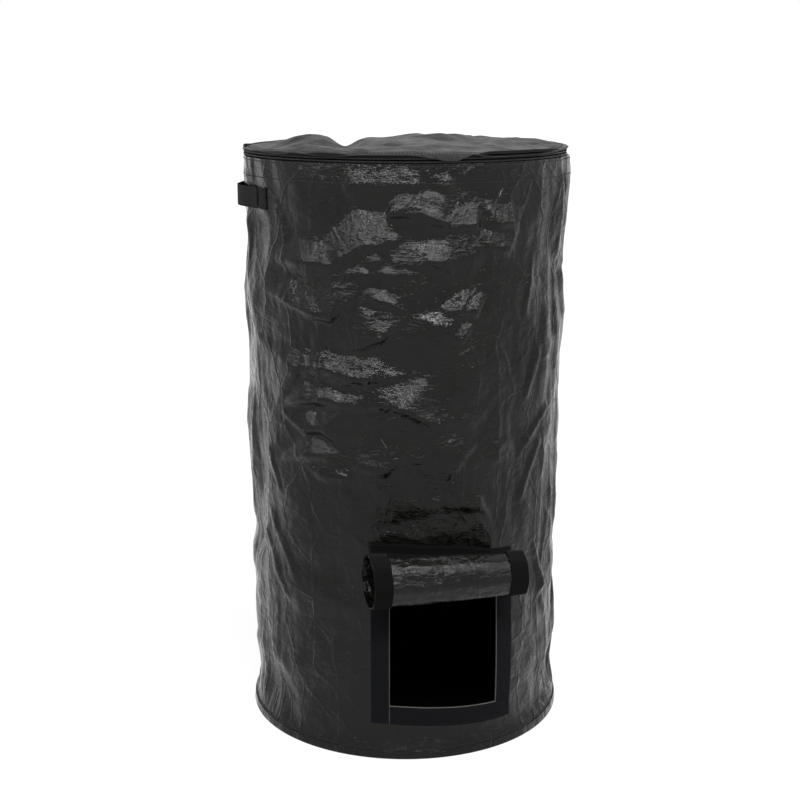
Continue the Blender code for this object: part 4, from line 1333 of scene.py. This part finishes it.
def seen_directly(made):
    """1 for rays that show the background: from the camera, in a reflection or through glass."""
    rays = node(made, "ShaderNodeLightPath").outputs
    reflected = maths(made, "MAXIMUM", rays["Is Camera Ray"], rays["Is Glossy Ray"])
    return maths(made, "MAXIMUM", reflected, rays["Is Transmission Ray"])


def make_floor_and_world():
    """White paper that shows as white, its glow for camera and reflected rays weaker near the bin:
    painted shade round the bin, which also darkens the floor's reflection in the sheet. And a white
    world.
    """
    bpy.ops.object.select_all(action="DESELECT")
    bpy.ops.mesh.primitive_plane_add(size=60, location=(0, 0, -0.0008))
    ground = bpy.context.object
    ground.name = "studio_floor"
    paper = finish("white_paper", (0.22, 0.22, 0.22), 0.9, specular=0.0)
    shader = paper.node_tree.nodes["Principled BSDF"]
    shader.inputs["Emission Color"].default_value = (1, 1, 1, 1)
    place = node(paper, "ShaderNodeTexCoord").outputs["Object"]
    away = node(paper, "ShaderNodeVectorMath", {0: place}, operation="LENGTH").outputs["Value"]
    # The glow runs from 0.84 near the bin to 1.0 far away: painted shade round the bin.
    lift = maths(paper, "MULTIPLY", seen_directly(paper), ramp(paper, away, 0.4, 2.4, 0.84, 1.0))
    feed(paper, "Emission Strength", lift)
    ground.data.materials.append(paper)
    world = bpy.data.worlds.new("studio")
    bpy.context.scene.world = world
    world.use_nodes = True
    back = world.node_tree.nodes["Background"]
    back.inputs["Color"].default_value = (1, 1, 1, 1)
    strength = ramp(world, seen_directly(world), 0.0, 1.0, 0.45, 1.0)
    world.node_tree.links.new(strength, back.inputs["Strength"])


def make_lamp(name, azimuth, elevation, distance, width, height, power, target=(0, 0, 0.45)):
    """A softbox that looks at the bin."""
    data = bpy.data.lights.new(name, "AREA")
    data.shape = "RECTANGLE"
    data.size, data.size_y = width, height
    data.energy = power
    lamp = bpy.data.objects.new(name, data)
    bpy.context.collection.objects.link(lamp)
    a, e = math.radians(azimuth), math.radians(elevation)
    back = Vector((math.sin(a) * math.cos(e), -math.cos(a) * math.cos(e), math.sin(e)))
    lamp.location = Vector(target) + back * distance
    lamp.rotation_mode = "QUATERNION"
    lamp.rotation_quaternion = back.to_track_quat("Z", "Y")


def make_lamps():
    """Narrow strips, which the glossy sheet reflects, at a plain level of light."""
    make_lamp("front_softbox", -14, 32, 1.7, 1.5, 0.09, 20)
    make_lamp("left_softbox", -59, 32, 1.7, 1.3, 0.08, 11)
    make_lamp("right_softbox", 31, 32, 1.7, 1.3, 0.08, 11)
    make_lamp("top_softbox", 90, 68, 1.5, 0.30, 0.9, 18, (0, -0.36, 0.8))


bpy.context.scene.view_settings.view_transform = "Standard"
make_camera()
make_floor_and_world()
make_lamps()
wall = make_wall()
bag_floor = make_floor()
rim_pieces = make_rim()
hinge_cloth = make_hinge_cloth()
trims = make_tube_trims()
door_pieces = make_door()
flap_cloths, flap_fleeces = make_flap()
lid = make_lid()
make_handles()
stitching = make_stitching()
dress_hard_pieces()
